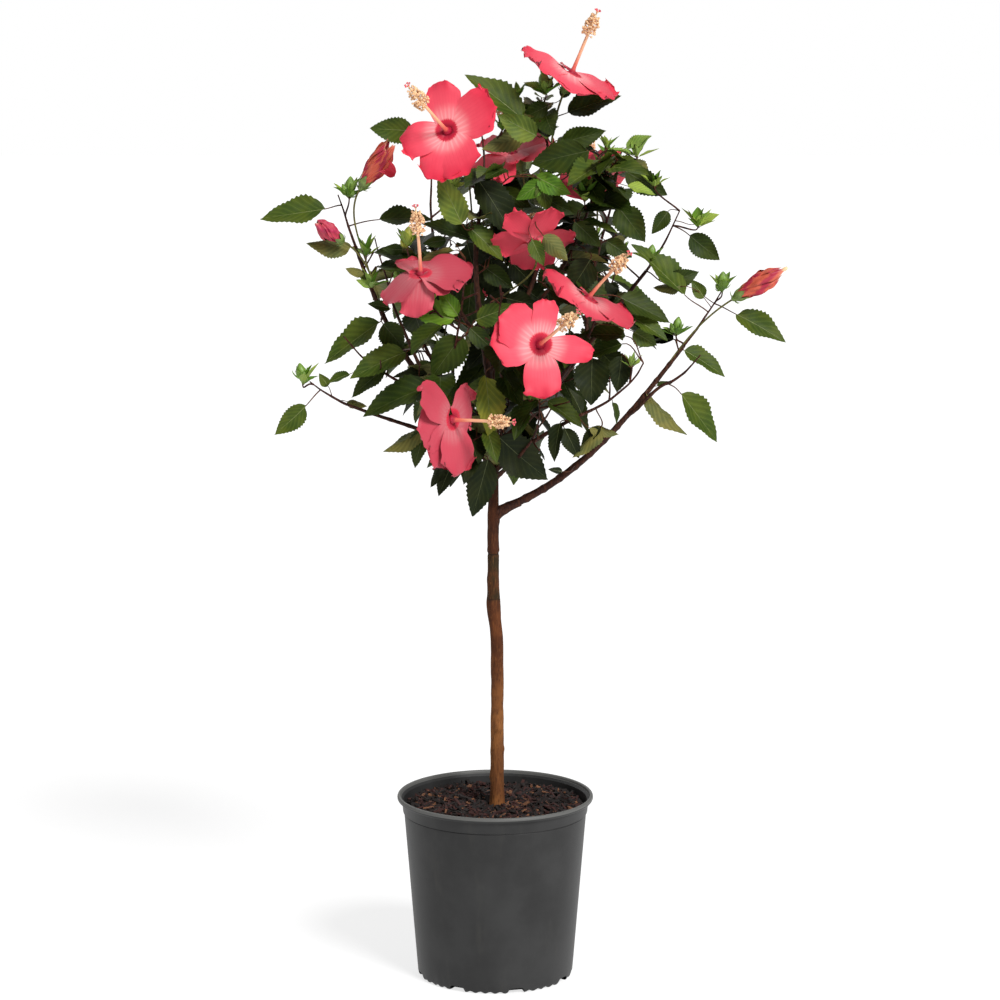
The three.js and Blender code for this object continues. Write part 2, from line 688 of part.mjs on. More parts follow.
// A leaf's corners: its root in the twig, its two sides and midrib where it is widest, its tip.
function shapeLeaf(mass, node, attempt) {
  const outward = outwardAt(node.heading, node.side, node.turn + 120 * attempt + mass.random(-12, 12));
  const forward = node.heading.clone().multiplyScalar(0.5);
  const petiole = step(forward, outward, 0.9).addScaledVector(up, 0.15).normalize();
  const flat = new THREE.Vector3(petiole.x, petiole.y, 0).normalize();
  const low = 1 - THREE.MathUtils.smoothstep(node.root.z, trunkTop, levelHeight);
  const droop = mass.random(0, 0.8) + lowDroop * low;
  const blade = step(petiole.clone().multiplyScalar(0.35), flat, 1).addScaledVector(up, -droop).normalize();
  const roll = mass.random(-0.6, 0.6);
  const level = crossVector(up, blade).normalize();
  const normal = step(crossVector(blade, level), level, roll).normalize();
  const across = crossVector(normal, blade).normalize();
  const size = mass.leaf * (node.last ? tuftLeaf : 1) * mass.random(0.82, 1.12);
  const length = bladeLength * size;
  const stalk = mass.random(14, 26) * size;
  const joint = step(node.root, petiole, stalk);
  const halfWidth = length * mass.random(0.25, 0.3);
  const curl = mass.random(0.05, 0.16);
  const at = (s, t) => {
    const point = step(step(joint, blade, length * s), across, halfWidth * t);
    return point.addScaledVector(normal, leafFold * halfWidth * Math.abs(t) - curl * length * s * s);
  };
  const [left, keel, right] = [-1, 0, 1].map((t) => at(widestAt, t));
  return { root: node.root, petiole, normal, left, keel, right, tip: at(1, 0) };
}

function leafFits(mass, leaf) {
  const { root, left, keel, right, tip } = leaf;
  if (![left, keel, right, tip].every((point) => insideSpace(mass, point, 1.5))) return false;
  const panels = [[root, left, keel], [root, keel, right], [tip, left, keel], [tip, keel, right]];
  const triangles = panels.map((corners) => new THREE.Triangle(...corners));
  const span = keel.distanceTo(tip) + 12;
  const nearest = new THREE.Vector3();
  return !crowd.some(({ at, radius, owner }) => {
    if (at.distanceTo(keel) > span) return false;
    if (owner === mass.name && at.distanceTo(root) < rootClearance) return false;
    const air = radius + leafAir + leafThickness / 2;
    return triangles.some((triangle) => triangle.closestPointToPoint(at, nearest).distanceTo(at) < air);
  });
}

function addLeafBeads(mass, { root, left, keel, right, tip }) {
  for (const [end, part] of [[root, 0.4], [root, 0.7], [root, 1], [tip, 0.7], [tip, 0.4]]) {
    const row = [left, keel, right].map((point) => end.clone().lerp(point, part));
    const inner = row.map((point) => row[1].clone().lerp(point, 0.8));
    addBeads(inner, [1.5, 1.5, 1.5], mass.name);
  }
}

function growLeaves(mass) {
  for (const node of mass.nodes) {
    const wanted = node.last ? 3 : 1;
    for (let i = 0; i < wanted; i += 1) {
      const root = node.from.clone().lerp(node.point, node.last ? 0.9 - 0.25 * i : 0.7);
      const start = { ...node, root, turn: node.turn + 120 * i };
      for (let attempt = 0; attempt < leafTries; attempt += 1) {
        const leaf = shapeLeaf(mass, start, attempt);
        if (!leafFits(mass, leaf)) continue;
        mass.leaves.push(leaf);
        addLeafBeads(mass, leaf);
        break;
      }
    }
  }
}

// A leaf's solid of eight faces: a pointed root in the twig, one ring at its widest and a tip.
function leafSolid(leaf) {
  const root = step(leaf.root, leaf.petiole, -rootDepth);
  const under = step(leaf.keel, leaf.normal, -leafThickness / 2);
  const over = step(leaf.keel, leaf.normal, leafThickness / 2);
  return ringSolid([[root], [leaf.left, under, leaf.right, over], [leaf.tip]]);
}

function massSolid(mass) {
  const twigs = mass.twigs.map((twig) => {
    return ringSolid(tubeRings(twig.path, twig.radii, 3, twig.turn + 60, leafTurn - 120));
  });
  return largestPart(join([...twigs, ...mass.leaves.map(leafSolid)]));
}

// Pot and potting mix.

function innerRadius(height) {
  return blend(footRadius, rimRadius - lipOverhang, height / (potHeight - lipHeight)) - wall;
}

function potSolid() {
  const underLip = potHeight - lipHeight;
  const bandFoot = underLip - bandHeight;
  const ledge = potHeight - ledgeDrop;
  const outer = (height) => innerRadius(height) + wall;
  const profile = [
    [0, 0],
    [footRadius - footChamfer, 0],
    [footRadius, footChamfer],
    [outer(bandFoot), bandFoot],
    [outer(bandFoot) + bandProud, bandFoot + bandProud],
    [outer(underLip) + bandProud, underLip],
    [rimRadius - 1, underLip + 1],
    [rimRadius, underLip + lipHeight / 2],
    [rimRadius - 1.5, potHeight],
    [rimRadius - lipWidth, potHeight],
    [innerRadius(underLip) + bandProud, underLip],
    [innerRadius(ledge) + bandProud, ledge],
    [innerRadius(ledge) + bandProud - ledgeWidth, ledge - 1],
    [innerRadius(floorThickness), floorThickness],
    [0, floorThickness],
  ];
  let solid = turned(profile, potSegments);
  for (let i = 0; i < drainArches; i += 1) {
    const arch = new THREE.Shape();
    arch.moveTo(-archWidth / 2, -1);
    arch.lineTo(archWidth / 2, -1);
    arch.lineTo(archWidth / 2 - 2, archHeight - archShoulder);
    arch.lineTo(archWidth / 2 - 6, archHeight);
    arch.lineTo(-archWidth / 2 + 6, archHeight);
    arch.lineTo(-archWidth / 2 + 2, archHeight - archShoulder);
    arch.closePath();
    const geometry = new THREE.ExtrudeGeometry(arch, { depth: archDepth, bevelEnabled: false, steps: 1 });
    geometry.rotateX(Math.PI / 2);
    geometry.translate(0, archDepth - 8 - footRadius, 0);
    geometry.rotateZ(2 * Math.PI * (i + archTurn) / drainArches);
    solid = solid.subtract(solidFromGeometry(geometry));
  }
  return solid;
}

function soilSolid() {
  const ledge = potHeight - ledgeDrop;
  const radius = (height) => innerRadius(height) - 1.5 * gap;
  const floor = floorThickness + gap;
  return turned([
    [0, floor],
    [radius(floor), floor],
    [radius(ledge - 2) - 1, ledge - 2],
    [radius(soilLevel) - bandProud, soilLevel],
    [moundRadius, soilLevel + soilCrown * 0.4],
    [collarRadius, soilLevel + soilCrown],
    [0, soilLevel + soilCrown],
  ], potSegments);
}

// The scene graph.

const plant = new THREE.Group();

const material = (color, roughness) => new THREE.MeshStandardMaterial({ color, roughness, metalness: 0 });

function addMesh(name, solid, finish) {
  const { vertProperties, triVerts } = solid.getMesh();
  const geometry = new THREE.BufferGeometry();
  geometry.setAttribute("position", new THREE.BufferAttribute(new Float32Array(vertProperties), 3));
  geometry.setIndex(new THREE.BufferAttribute(new Uint32Array(triVerts), 1));
  const mesh = new THREE.Mesh(geometry, finish);
  mesh.name = name;
  plant.add(mesh);
}

makeTrunk();
addBeads(limbs.trunk.path, limbs.trunk.radii, "trunk");
for (const [name, spec] of Object.entries(boughs)) {
  makeLimb(name, spec, boughSides, boughSpacing);
  addBeads(limbs[name].path, limbs[name].radii, name);
}
const flowers = [
  ...Object.entries(blooms).map(([name, spec]) => ({ name: `bloom_${name}`, ...makeBloom(name, spec) })),
  ...Object.entries(spentBlooms).map(([name, spec]) => (
    { name: `spent_bloom_${name}`, ...makeSpentBloom(name, spec) }
  )),
];
for (const { stalk } of flowers) addBeads(limbs[stalk].path, limbs[stalk].radii, "stalk");

prepareMasses();
Object.values(masses).forEach(growTwigs);
for (const mass of Object.values(masses)) {
  for (const twig of mass.twigs) addBeads(twig.path, twig.radii, mass.name);
}
Object.values(masses).forEach(growLeaves);

addMesh("pot", potSolid(), material(0x3f3f3f, 0.55));
addMesh("potting_mix", soilSolid(), material(0x2c1712, 0.95));
addMesh("trunk", limbSolid(limbs.trunk), material(0x6b4a30, 0.85));
const cutLimbs = { trunk: limbSolid(limbs.trunk, gap) };
for (const name of Object.keys(boughs)) {
  const whole = limbSolid(limbs[name]);
  const cut = Object.values(cutLimbs).reduce((solid, other) => solid.subtract(other), whole);
  cutLimbs[name] = limbSolid(limbs[name], gap);
  addMesh(`bough_${name}`, largestPart(cut), material(0x4a2a20, 0.8));
}
for (const { name, stalk, body } of flowers) {
  addMesh(name, largestPart(body.subtract(cutLimbs[limbs[stalk].on])), material(0xf0586c, 0.6));
}
for (const mass of Object.values(masses)) {
  addMesh(`foliage_${mass.name}`, massSolid(mass), material(0x2f4a26, 0.55));
}

export default plant;
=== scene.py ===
# Tree-form hibiscus in its nursery pot: pot, potting mix, trunk, boughs, leaves and blooms.
# Growth is worked out in millimetres and the meshes are made in metres. +Z is up, -Y the front.

import math

import bpy
import numpy as np
from numpy.linalg import norm
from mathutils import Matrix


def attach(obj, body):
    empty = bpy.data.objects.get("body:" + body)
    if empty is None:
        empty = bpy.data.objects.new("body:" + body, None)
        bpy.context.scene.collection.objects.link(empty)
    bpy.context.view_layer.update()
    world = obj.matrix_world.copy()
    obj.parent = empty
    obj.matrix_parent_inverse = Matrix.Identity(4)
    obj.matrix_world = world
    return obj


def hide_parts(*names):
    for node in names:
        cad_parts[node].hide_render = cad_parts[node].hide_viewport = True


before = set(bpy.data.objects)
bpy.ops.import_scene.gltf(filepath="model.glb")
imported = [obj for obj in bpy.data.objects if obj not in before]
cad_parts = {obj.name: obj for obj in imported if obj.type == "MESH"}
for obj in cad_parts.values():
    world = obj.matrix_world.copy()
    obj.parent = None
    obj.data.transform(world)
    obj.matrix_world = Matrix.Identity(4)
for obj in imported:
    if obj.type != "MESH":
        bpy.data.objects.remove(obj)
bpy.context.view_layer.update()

metres = 0.001  # in a millimetre
up = np.array([0.0, 0.0, 1.0])
right = np.array([1.0, 0.0, 0.0])
front = np.array([0.0, -1.0, 0.0])
viewpoint = np.array([6.2, -5000.0, 1553.0])

# Sizes that the pot, trunk, limbs and blooms share with the solids.
pot = {
    "height": 240, "rim": 127, "foot": 100.5, "wall": 2, "floor": 3, "lip": 7, "overhang": 7.5,
    "lipWidth": 5, "band": 16, "proud": 1.5, "ledge": 20, "ledgeWidth": 2.5,
}
trunk = {
    "foot": 224.85, "top": 712, "footWidth": 18, "topWidth": 13, "flare": 3, "flareHeight": 9,
    "knuckle": 490, "knuckleWidth": 2.8, "knuckleLength": 15, "shift": -5, "offset": 2.6,
    "sway": 1.25, "swayLength": 70,
}
petal = {"length": 52, "halfWidth": 29, "overlap": 4, "spring": 9, "throat": 24}
limbPull = 0.35  # how far a limb's ends hold their headings, as a share of its span
columnLength = 80
calyxDrop = 34  # from the middle of the throat back to the foot of the calyx
leafTurn = 137.5  # from one leaf to the next round a twig
bladeLength = 72
clearance = 0.6  # that leaves and twigs keep from limbs

# Boughs: parent, place on it, tip, heading on leaving and at the tip, width at foot and tip.
boughs = {
    "right_low": ("trunk", 0.795, [240, -5, 828], [0.9, 0, 0.3], [0.6, 0, 0.79], [11, 5]),
    "right_mid": ("trunk", 0.9, [122, -62, 754], [0.6, -0.45, 0.6], [0.85, -0.1, 0.4], [7, 4]),
    "right_high": ("trunk", 0.965, [192, 18, 920], [0.75, 0.1, 0.65], [0.62, 0, 0.78], [9, 4.4]),
    "leader": ("trunk", 1, [-20, -44, 994], [0, -0.1, 1], [0.16, 0.2, 1], [11, 5]),
    "left_high": ("trunk", 0.982, [-176, -18, 956], [-0.85, -0.1, 0.5], [-0.32, 0.22, 0.92], [9, 4.4]),
    "left_low": ("trunk", 0.925, [-186, -40, 757], [-0.8, -0.2, 0.55], [-0.92, 0, 0.36], [7, 3.8]),
    "front_left_low": ("trunk", 0.85, [-26, -56, 678], [-0.4, -0.7, 0.6], [-0.06, -0.8, 0.4], [6.5, 4.4]),
    "front_right_low": ("trunk", 0.875, [36, -64, 702], [0.4, -0.6, 0.65], [0.45, -0.5, 0.72], [6.5, 4.4]),
    "front": ("trunk", 0.95, [8, -96, 800], [0.1, -0.6, 0.75], [-0.05, -0.4, 0.9], [7, 4.4]),
    "back_low": ("trunk", 0.89, [22, 100, 724], [0.1, 0.7, 0.6], [0.1, 0.75, 0.6], [7, 4.4]),
    "back_left": ("trunk", 0.94, [-90, 98, 810], [-0.5, 0.6, 0.6], [-0.4, 0.45, 0.8], [7.5, 4.4]),
    "back_right": ("trunk", 0.93, [112, 104, 806], [0.5, 0.6, 0.6], [0.45, 0.4, 0.8], [7.5, 4.4]),
    "top": ("leader", 0.28, [69, 6, 1040], [0.5, 0.2, 0.85], [-0.05, 0.2, 1], [6.5, 4.4]),
    "back_high": ("leader", 0.2, [6, 92, 940], [0.1, 0.7, 0.7], [0, 0.3, 0.95], [6.5, 4.4]),
    "upper_left": ("leader", 0.42, [-78, 22, 962], [-0.6, 0.5, 0.6], [-0.2, 0.1, 1], [5.5, 4]),
    "upper_right": ("top", 0.3, [112, -32, 990], [0.8, -0.3, 0.5], [0.4, 0, 0.92], [5, 3.8]),
    "left_mid": ("left_high", 0.26, [-122, -56, 790], [-0.6, -0.5, 0.5], [-0.85, -0.15, 0.5], [5, 3.8]),
    "front_left": ("left_high", 0.2, [-52, -82, 822], [-0.1, -0.85, 0.5], [0.05, -0.4, 0.9], [5.5, 4]),
    "front_right": ("right_high", 0.3, [112, -70, 840], [0.4, -0.7, 0.5], [0.5, -0.3, 0.8], [5.5, 4]),
    "right_back": ("right_high", 0.6, [136, 54, 956], [-0.1, 0.5, 0.85], [0.25, 0.1, 0.95], [5, 3.8]),
    "right_side": ("right_low", 0.66, [222, -38, 786], [0.5, -0.7, 0.3], [0.85, -0.4, 0.3], [5, 3.8]),
    "left_back": ("left_high", 0.36, [-128, 66, 862], [-0.2, 0.85, 0.4], [-0.35, 0.5, 0.8], [5, 3.8]),
}

# Foliage masses: stem length, side shoots and their length, lean, reach, leaf size, seed.
masses = {
    "right_low": (82, 3, 44, 52, 120, 0.92, 11),
    "right_mid": (110, 5, 60, 58, 110, 1, 12),
    "right_high": (84, 4, 46, 50, 92, 0.9, 13),
    "leader": (140, 7, 60, 60, 125, 1, 14),
    "left_high": (64, 3, 46, 62, 118, 0.9, 15),
    "left_low": (52, 2, 34, 50, 95, 0.72, 16),
    "front_left_low": (90, 5, 54, 68, 104, 1.04, 17),
    "front_right_low": (90, 5, 56, 64, 98, 1.04, 18),
    "front": (110, 6, 62, 64, 118, 1, 19),
    "back_low": (120, 5, 70, 62, 150, 1.04, 20),
    "back_left": (130, 6, 74, 62, 140, 1.04, 21),
    "back_right": (130, 6, 74, 62, 140, 1.04, 22),
    "top": (90, 4, 46, 62, 96, 0.9, 23),
    "back_high": (130, 6, 66, 62, 130, 1, 24),
    "upper_left": (110, 5, 60, 60, 112, 1, 25),
    "upper_right": (80, 4, 52, 60, 100, 0.95, 26),
    "left_mid": (90, 4, 54, 62, 112, 1, 32),
    "front_left": (90, 5, 60, 66, 112, 1, 27),
    "front_right": (100, 5, 60, 62, 112, 1, 28),
    "right_back": (96, 5, 50, 56, 98, 0.95, 29),
    "right_side": (56, 3, 40, 60, 108, 1, 30),
    "left_back": (96, 5, 56, 60, 105, 1, 31),
}

# Open blooms: bough, place on it, middle of the throat, facing, turn, each petal's flare.
blooms = {
    "top": ("top", 0.74, [99, -12, 1180], [0.36, -0.24, 0.9], 14, [86, 88, 92, 90, 88]),
    "upper_left": ("leader", 0.72, [-57, -112, 1114], [-0.27, -0.9, 0.34], 0, [84, 90, 96, 92, 86]),
    "upper_back": ("back_high", 0.75, [26, 66, 1072], [-0.25, 0.35, 0.9], 30, [96, 92, 90, 92, 96]),
    "left": ("front_left", 0.8, [-92, -122, 941], [0, -0.3, 0.95], 18, [96, 128, 132, 104, 88]),
    "centre_high": ("leader", 0.55, [48, -64, 974], [-0.1, 0.75, 0.65], 0, [88, 88, 92, 92, 90]),
    "right": ("front_right", 0.7, [120, -104, 907], [0.55, -0.2, 0.8], 20, [88, 92, 96, 92, 88]),
    "centre": ("front", 0.85, [57, -182, 856], [0.2, -0.94, 0.27], 4, [86, 90, 88, 92, 90]),
    "lower_left": ("front_left_low", 0.45, [-46, -176, 760], [0.85, -0.5, 0.05], 8, [88, 90, 92, 96, 90]),
    "right_back": ("right_back", 0.8, [126, 106, 1034], [-0.1, 0.75, 0.65], 0, [90, 88, 92, 92, 90]),
    "back": ("back_left", 0.8, [-52, 178, 880], [0.1, 0.95, 0.3], 0, [88, 90, 92, 94, 90]),
}

# How each bloom's petals and column differ from the solid's: facing, how dark it is painted
# (painted shade, for blooms that stand in shade), whether it shows its back, each petal's turn,
# flare, roll, width, length and how far its sides fall back from its tip, a shift of the whole,
# and the way from the eye to the column's end.
bloomLooks = {
    "top": {
        "face": [0.52, -0.12, 0.86], "turns": [8, 80, 136, 200, 288], "flares": [94, 112, 114, 105, 114],
        "rolls": [0, 0, 0, -0.26, 0], "widths": [1.05, 0.9, 0.7, 0.85, 1.35],
        "lengths": [1.08, 0.75, 0.7, 1.12, 0.9],
    },
    "upper_left": {
        "turns": [12, 83, 184, 248, 280], "flares": [84, 88, 92, 92, 88],
        "widths": [0.84, 0.72, 0.78, 0.88, 0.88], "lengths": [1.14, 1, 0.96, 1.06, 1.08],
        "tips": [0.12, 0.3, 0.15, 0.12, 0.15], "column": [-42, -48, 54], "move": [-4, 0, -2],
    },
    "upper_back": {
        "face": [-0.2, -0.3, 0.93], "turns": [216, 280, 335, 40, 120], "flares": [116, 92, 96, 90, 90],
        "rolls": [-0.3, 0, 0, 0, 0], "widths": [1, 0.7, 0.9, 0.9, 0.9],
        "lengths": [1.04, 0.7, 0.9, 0.9, 0.9],
        "move": [-4, -46, 4], "rear": True,
    },
    "left": {
        "turns": [8, 96, 205, 262, 330], "flares": [98, 104, 134, 150, 124],
        "rolls": [0.14, 0, 0, 0, 0], "widths": [1.15, 1.1, 0.85, 0.62, 0.8],
        "lengths": [1.08, 0.85, 1.06, 1.1, 0.8],
        "column": [-5, -22, 74], "dark": 0.85,
    },
    "centre_high": {
        "turns": [300, 235, 170, 94, 14], "widths": [0.7, 0.66, 0.8, 0.95, 0.75],
        "lengths": [0.86, 0.86, 0.86, 0.98, 0.86], "dark": 0.1, "rear": True, "column": [0, 60, 16],
    },
    "right": {
        "face": [0.57, -0.12, 0.8], "turns": [12, 76, 136, 204, 288], "flares": [92, 112, 114, 103, 114],
        "rolls": [0, 0, 0, -0.26, 0], "widths": [1, 0.9, 0.7, 0.9, 1.2],
        "lengths": [1.12, 0.7, 0.65, 1.1, 0.8],
        "column": [42, -26, 50], "dark": 0.2,
    },
    "centre": {
        "turns": [358, 90, 154, 188, 281], "flares": [84, 92, 86, 90, 92],
        "widths": [0.56, 0.6, 0.95, 0.95, 0.68], "lengths": [1.06, 0.9, 1, 1.04, 1.12],
        "tips": [0.5, 0.04, 0.1, 0.12, 0.12], "column": [41, -58, 44],
    },
    "lower_left": {
        "turns": [203, 250, 303, 332, 78], "flares": [101, 113, 108, 92, 98],
        "widths": [0.6, 0.9, 1, 1, 1.25], "lengths": [1.3, 1.04, 1.06, 1.1, 0.84],
        "tips": [0.4, 0.25, 0.12, 0.12, 0.12], "dark": 0.85,
    },
    "right_back": {"lengths": [0.8] * 5},
    "back": {"lengths": [0.8] * 5, "flares": [70, 72, 70, 74, 70]},
}
screenedBlooms = ("upper_back", "right_back", "back", "centre_high")  # leaves may stand before them

# Spent blooms: bough, place on it, base of the furl, the way that it points.
spentBlooms = {
    "left_high": ("left_high", 0.8, [-167, -40, 1034], [0.56, -0.1, 0.8]),
    "left_side": ("left_high", 0.66, [-193, -42, 966], [-0.85, -0.15, 0.45]),
    "right_low": ("right_low", 0.84, [304, -14, 890], [0.82, -0.1, 0.5]),
}

boughNodes = [f"bough_{name}" for name in boughs]
foliageNodes = [f"foliage_{name}" for name in masses]
flowerNodes = [*(f"bloom_{name}" for name in blooms), *(f"spent_bloom_{name}" for name in spentBlooms)]

# Leaves with a place of their own on the front of the crown: where the blade starts (x, z),
# where it ends (x, z), its distance forward (y), the width that shows and its colour; deep and dark
# stand for leaves in shade, so there the colour is painted shade.
placedLeaves = [
    (20, 934, 52, 900, 0, 32, "deep"),
    (30, 905, 66, 876, 10, 34, "deep"),
    (76, 930, 58, 896, 10, 28, "dark"),
    (52, 1048, 92, 1026, -60, 26, "bright"),
    (60, 1042, 28, 1020, -60, 22, "bright"),
    (58, 1040, 66, 1006, -62, 22, "mid"),
    (62, 935, 92, 905, -60, 24, "deep"),
    (102, 918, 149, 889, -60, 20, "dark"),
    (14, 894, 52, 884, -50, 28, "deep"),
    (140, 965, 170, 945, -40, 24, "dark"),
    (30, 955, 50, 925, 10, 34, "deep"),
    (66, 900, 70, 860, 0, 30, "deep"),
    (-14, 930, 22, 905, -20, 26, "dark"),
    (6, 1030, 44, 1008, -40, 24, "dark"),
    (60, 1022, 96, 1000, -50, 26, "dark"),
    (100, 990, 132, 962, -50, 26, "dark"),
    (36, 1115, -30, 1173, -20, 33, "mid"),
    (52, 1097, 6, 1122, -40, 33, "light"),
    (36, 1096, -14, 1080, -20, 25, "olive"),
    (64, 1147, 39, 1164, -10, 10, "young"),
    (66, 1132, 36, 1116, -10, 25, "dark"),
    (84, 1140, 104, 1169, 10, 15, "dark"),
    (92, 1120, 154, 1144, 30, 28, "dark"),
    (81, 1087, 134, 1105, -40, 30, "dark"),
    (116, 1081, 47, 1067, -70, 43, "dark"),
    (165, 1077, 195, 1094, 10, 13, "young"),
    (165, 1048, 216, 1020, 0, 33, "dark"),
    (167, 1031, 200, 1022, -10, 11, "young"),
    (154, 1008, 188, 968, -40, 38, "dark"),
    (-101, 1103, -154, 1107, -40, 33, "mid"),
    (-41, 992, -68, 1053, -90, 35, "light"),
    (-21, 1044, 29, 974, -60, 41, "deep"),
    (-31, 971, -86, 994, -60, 20, "dark"),
    (-33, 985, 11, 950, -60, 25, "mid"),
    (-61, 969, -89, 964, -60, 15, "dark"),
    (-145, 991, -82, 997, -30, 19, "dark"),
    (-215, 1003, -291, 992, -20, 30, "mid"),
    (-181, 956, -234, 955, -30, 22, "olive"),
    (-165, 922, -188, 929, -30, 11, "olive"),
    (-156, 905, -174, 915, -30, 9, "young"),
    (-133, 879, -159, 887, -30, 13, "dark"),
    (-146, 863, -213, 818, -50, 28, "mid"),
    (-141, 862, -116, 831, -50, 33, "dark"),
    (-112, 829, -181, 804, -70, 30, "mid"),
    (-135, 810, -180, 774, -60, 23, "dark"),
    (-183, 798, -212, 789, -50, 10, "mid"),
    (-82, 786, -165, 757, -70, 30, "dark"),
    (-85, 797, -127, 797, -50, 11, "deep"),
    (-211, 781, -221, 797, -40, 13, "mid"),
    (-239, 757, -274, 721, -50, 28, "mid"),
    (-188, 758, -164, 751, -20, 10, "olive"),
    (-116, 954, -141, 956, -40, 15, "dark"),
    (-88, 731, -102, 682, -60, 23, "dark"),
    (-88, 731, -135, 697, -60, 18, "olive"),
    (-12, 805, 0, 729, -110, 35, "yellow"),
    (-9, 692, -28, 621, -70, 38, "deep"),
    (-54, 688, -73, 651, -80, 20, "deep"),
    (-63, 683, -81, 660, -80, 13, "deep"),
    (6, 718, 61, 663, -60, 51, "deep"),
    (82, 737, 71, 691, -60, 18, "deep"),
    (87, 731, 106, 694, -60, 23, "deep"),
    (133, 729, 107, 709, -50, 13, "deep"),
    (85, 673, 68, 676, -50, 8, "deep"),
    (108, 753, 96, 784, -80, 13, "deep"),
    (122, 820, 120, 763, -60, 46, "deep"),
    (148, 764, 156, 738, -60, 8, "dark"),
    (120, 729, 154, 721, -50, 13, "olive"),
    (133, 729, 101, 691, -50, 15, "olive"),
    (-50, 874, -113, 891, -100, 30, "bright"),
    (-46, 879, -68, 911, -100, 23, "bright"),
    (-24, 872, 21, 892, -90, 28, "mid"),
    (-41, 852, -79, 804, -90, 43, "dark"),
    (-31, 862, 0, 833, -90, 23, "dark"),
    (119, 944, 94, 901, -60, 38, "deep"),
    (66, 911, 110, 888, -80, 20, "dark"),
    (159, 822, 155, 779, -60, 30, "deep"),
    (164, 849, 109, 856, -70, 18, "dark"),
    (159, 839, 113, 825, -70, 18, "dark"),
    (174, 853, 202, 838, -60, 25, "mid"),
    (158, 896, 217, 866, -60, 25, "dark"),
    (172, 871, 217, 848, -60, 18, "mid"),
    (240, 893, 177, 958, -10, 25, "mid"),
    (219, 908, 257, 918, 0, 25, "dark"),
    (234, 904, 200, 901, -10, 13, "olive"),
    (247, 965, 283, 934, 20, 30, "dark"),
    (219, 997, 199, 970, 10, 20, "dark"),
    (254, 981, 281, 995, 10, 13, "young"),
    (265, 888, 251, 910, 0, 18, "mid"),
    (306, 867, 368, 839, 0, 28, "mid"),
    (240, 821, 293, 793, 0, 20, "mid"),
    (237, 765, 283, 705, -5, 30, "mid"),
    (192, 766, 234, 712, -10, 18, "olive"),
    (206, 775, 225, 779, 0, 6, "dark"),
    (46, 974, 60, 944, -105, 20, "mid"),
    (60, 980, 88, 950, -110, 24, "olive"),
    # Leaves behind the middle of the crown, painted deep and dark as the shade there.
    (-36, 948, -22, 884, 80, 42, "deep"),
    (-6, 930, 12, 868, 70, 42, "deep"),
    (-72, 905, -58, 846, 70, 40, "deep"),
    (-30, 900, -38, 838, 60, 40, "dark"),
    (8, 890, 0, 832, 50, 40, "deep"),
]

# Tufts of young leaves, and those with flower buds among them: place and size.
tufts = [
    ([64, -10, 1146], 1.15, "buds"),
    ([-183, -30, 1017], 1.1, "buds"),
    ([-110, -60, 958], 1.1, "yellow"),
    ([159, -20, 942], 0.9, "yellow"),
    ([134, 0, 1050], 1, "leaves"),
    ([179, 0, 1066], 1.15, "leaves"),
    ([201, 0, 1028], 0.8, "leaves"),
    ([257, 10, 976], 1.1, "leaves"),
    ([288, 0, 894], 1.1, "buds"),
    ([-243, -40, 782], 1.1, "buds"),
    ([229, -20, 842], 0.95, "buds"),
    ([63, -40, 1032], 1.3, "leaves"),
    ([112, -50, 1015], 1.3, "leaves"),
    ([-87, -100, 880], 1.3, "leaves"),
    ([-162, -30, 944], 1, "leaves"),
    ([-156, -30, 904], 1, "leaves"),
    ([196, 0, 933], 0.9, "buds"),
]

# The crown's edge between its placed outer leaves, and open sky within it, seen from the front
# in the plane of the trunk: x and z, and the radius of an opening.
crownEdge = [
    (-12, 640), (-45, 640), (-80, 655), (-95, 690), (-132, 700), (-108, 738), (-165, 757), (-142, 775),
    (-180, 790), (-176, 810), (-110, 838), (-140, 855), (-150, 880), (-176, 925), (-160, 950),
    (-120, 956), (-96, 986), (-76, 986), (-70, 1040), (-42, 1045), (-30, 1060), (-16, 1050), (-6, 1100),
    (15, 1150), (35, 1140), (50, 1155), (76, 1150), (95, 1120), (76, 1100), (126, 1102), (116, 1082),
    (146, 1080), (182, 1070), (212, 1030), (168, 1036), (192, 1005), (196, 975), (170, 958), (160, 940),
    (156, 910), (202, 890), (226, 860), (230, 830), (192, 798), (170, 770), (130, 760), (152, 722),
    (110, 688), (68, 690), (60, 658), (12, 640),
]
openings = [
    (-12, 1083, 12), (22, 918, 8), (75, 905, 7), (122, 800, 9), (118, 868, 9), (150, 835, 9),
    (95, 715, 11), (62, 738, 8), (130, 742, 11), (-85, 815, 7), (-118, 795, 8), (-28, 795, 7),
]


def radians(degrees):
    return degrees * math.pi / 180


def unit(values):
    values = np.asarray(values, float)
    return values / norm(values)


def blend(low, high, t):
    return low + (high - low) * t


def smooth(value, low, high):
    t = np.clip((value - low) / (high - low), 0, 1)
    return t * t * (3 - 2 * t)


def seeded(seed):
    # A small generator of its own, so that the growth is the same in every run.
    modulus = 2147483647
    state = [(seed * 48271 + 11) % modulus]

    def draw(low, high):
        state[0] = state[0] * 16807 % modulus
        return low + (high - low) * state[0] / modulus
    return draw


def drawn(draw, low, high, *shape):
    return np.array([draw(low, high) for _ in range(math.prod(shape))]).reshape(shape)


def steps(count):
    return np.arange(count + 1) / count


def circle(count):
    return np.arange(count) * 2 * math.pi / count


def ringPoints(radius, turn, height):
    x, y, z = np.broadcast_arrays(radius * np.cos(turn), radius * np.sin(turn), height)
    return np.stack([x, y, z], axis=-1)


def rowAt(rows, place):
    # Between two rows, at a place that is a fraction of a row.
    k = min(int(place), len(rows) - 2)
    return blend(rows[k], rows[k + 1], place - k)


def sideOf(heading):
    return unit(np.cross(heading, up if abs(heading[2]) < 0.9 else right))


def carried(side, heading):
    return unit(side - heading * side.dot(heading))


def outwardAt(heading, side, turn):
    # The side, turned about the heading by so many degrees.
    other = np.cross(heading, side)
    return side * math.cos(radians(turn)) + other * math.sin(radians(turn))


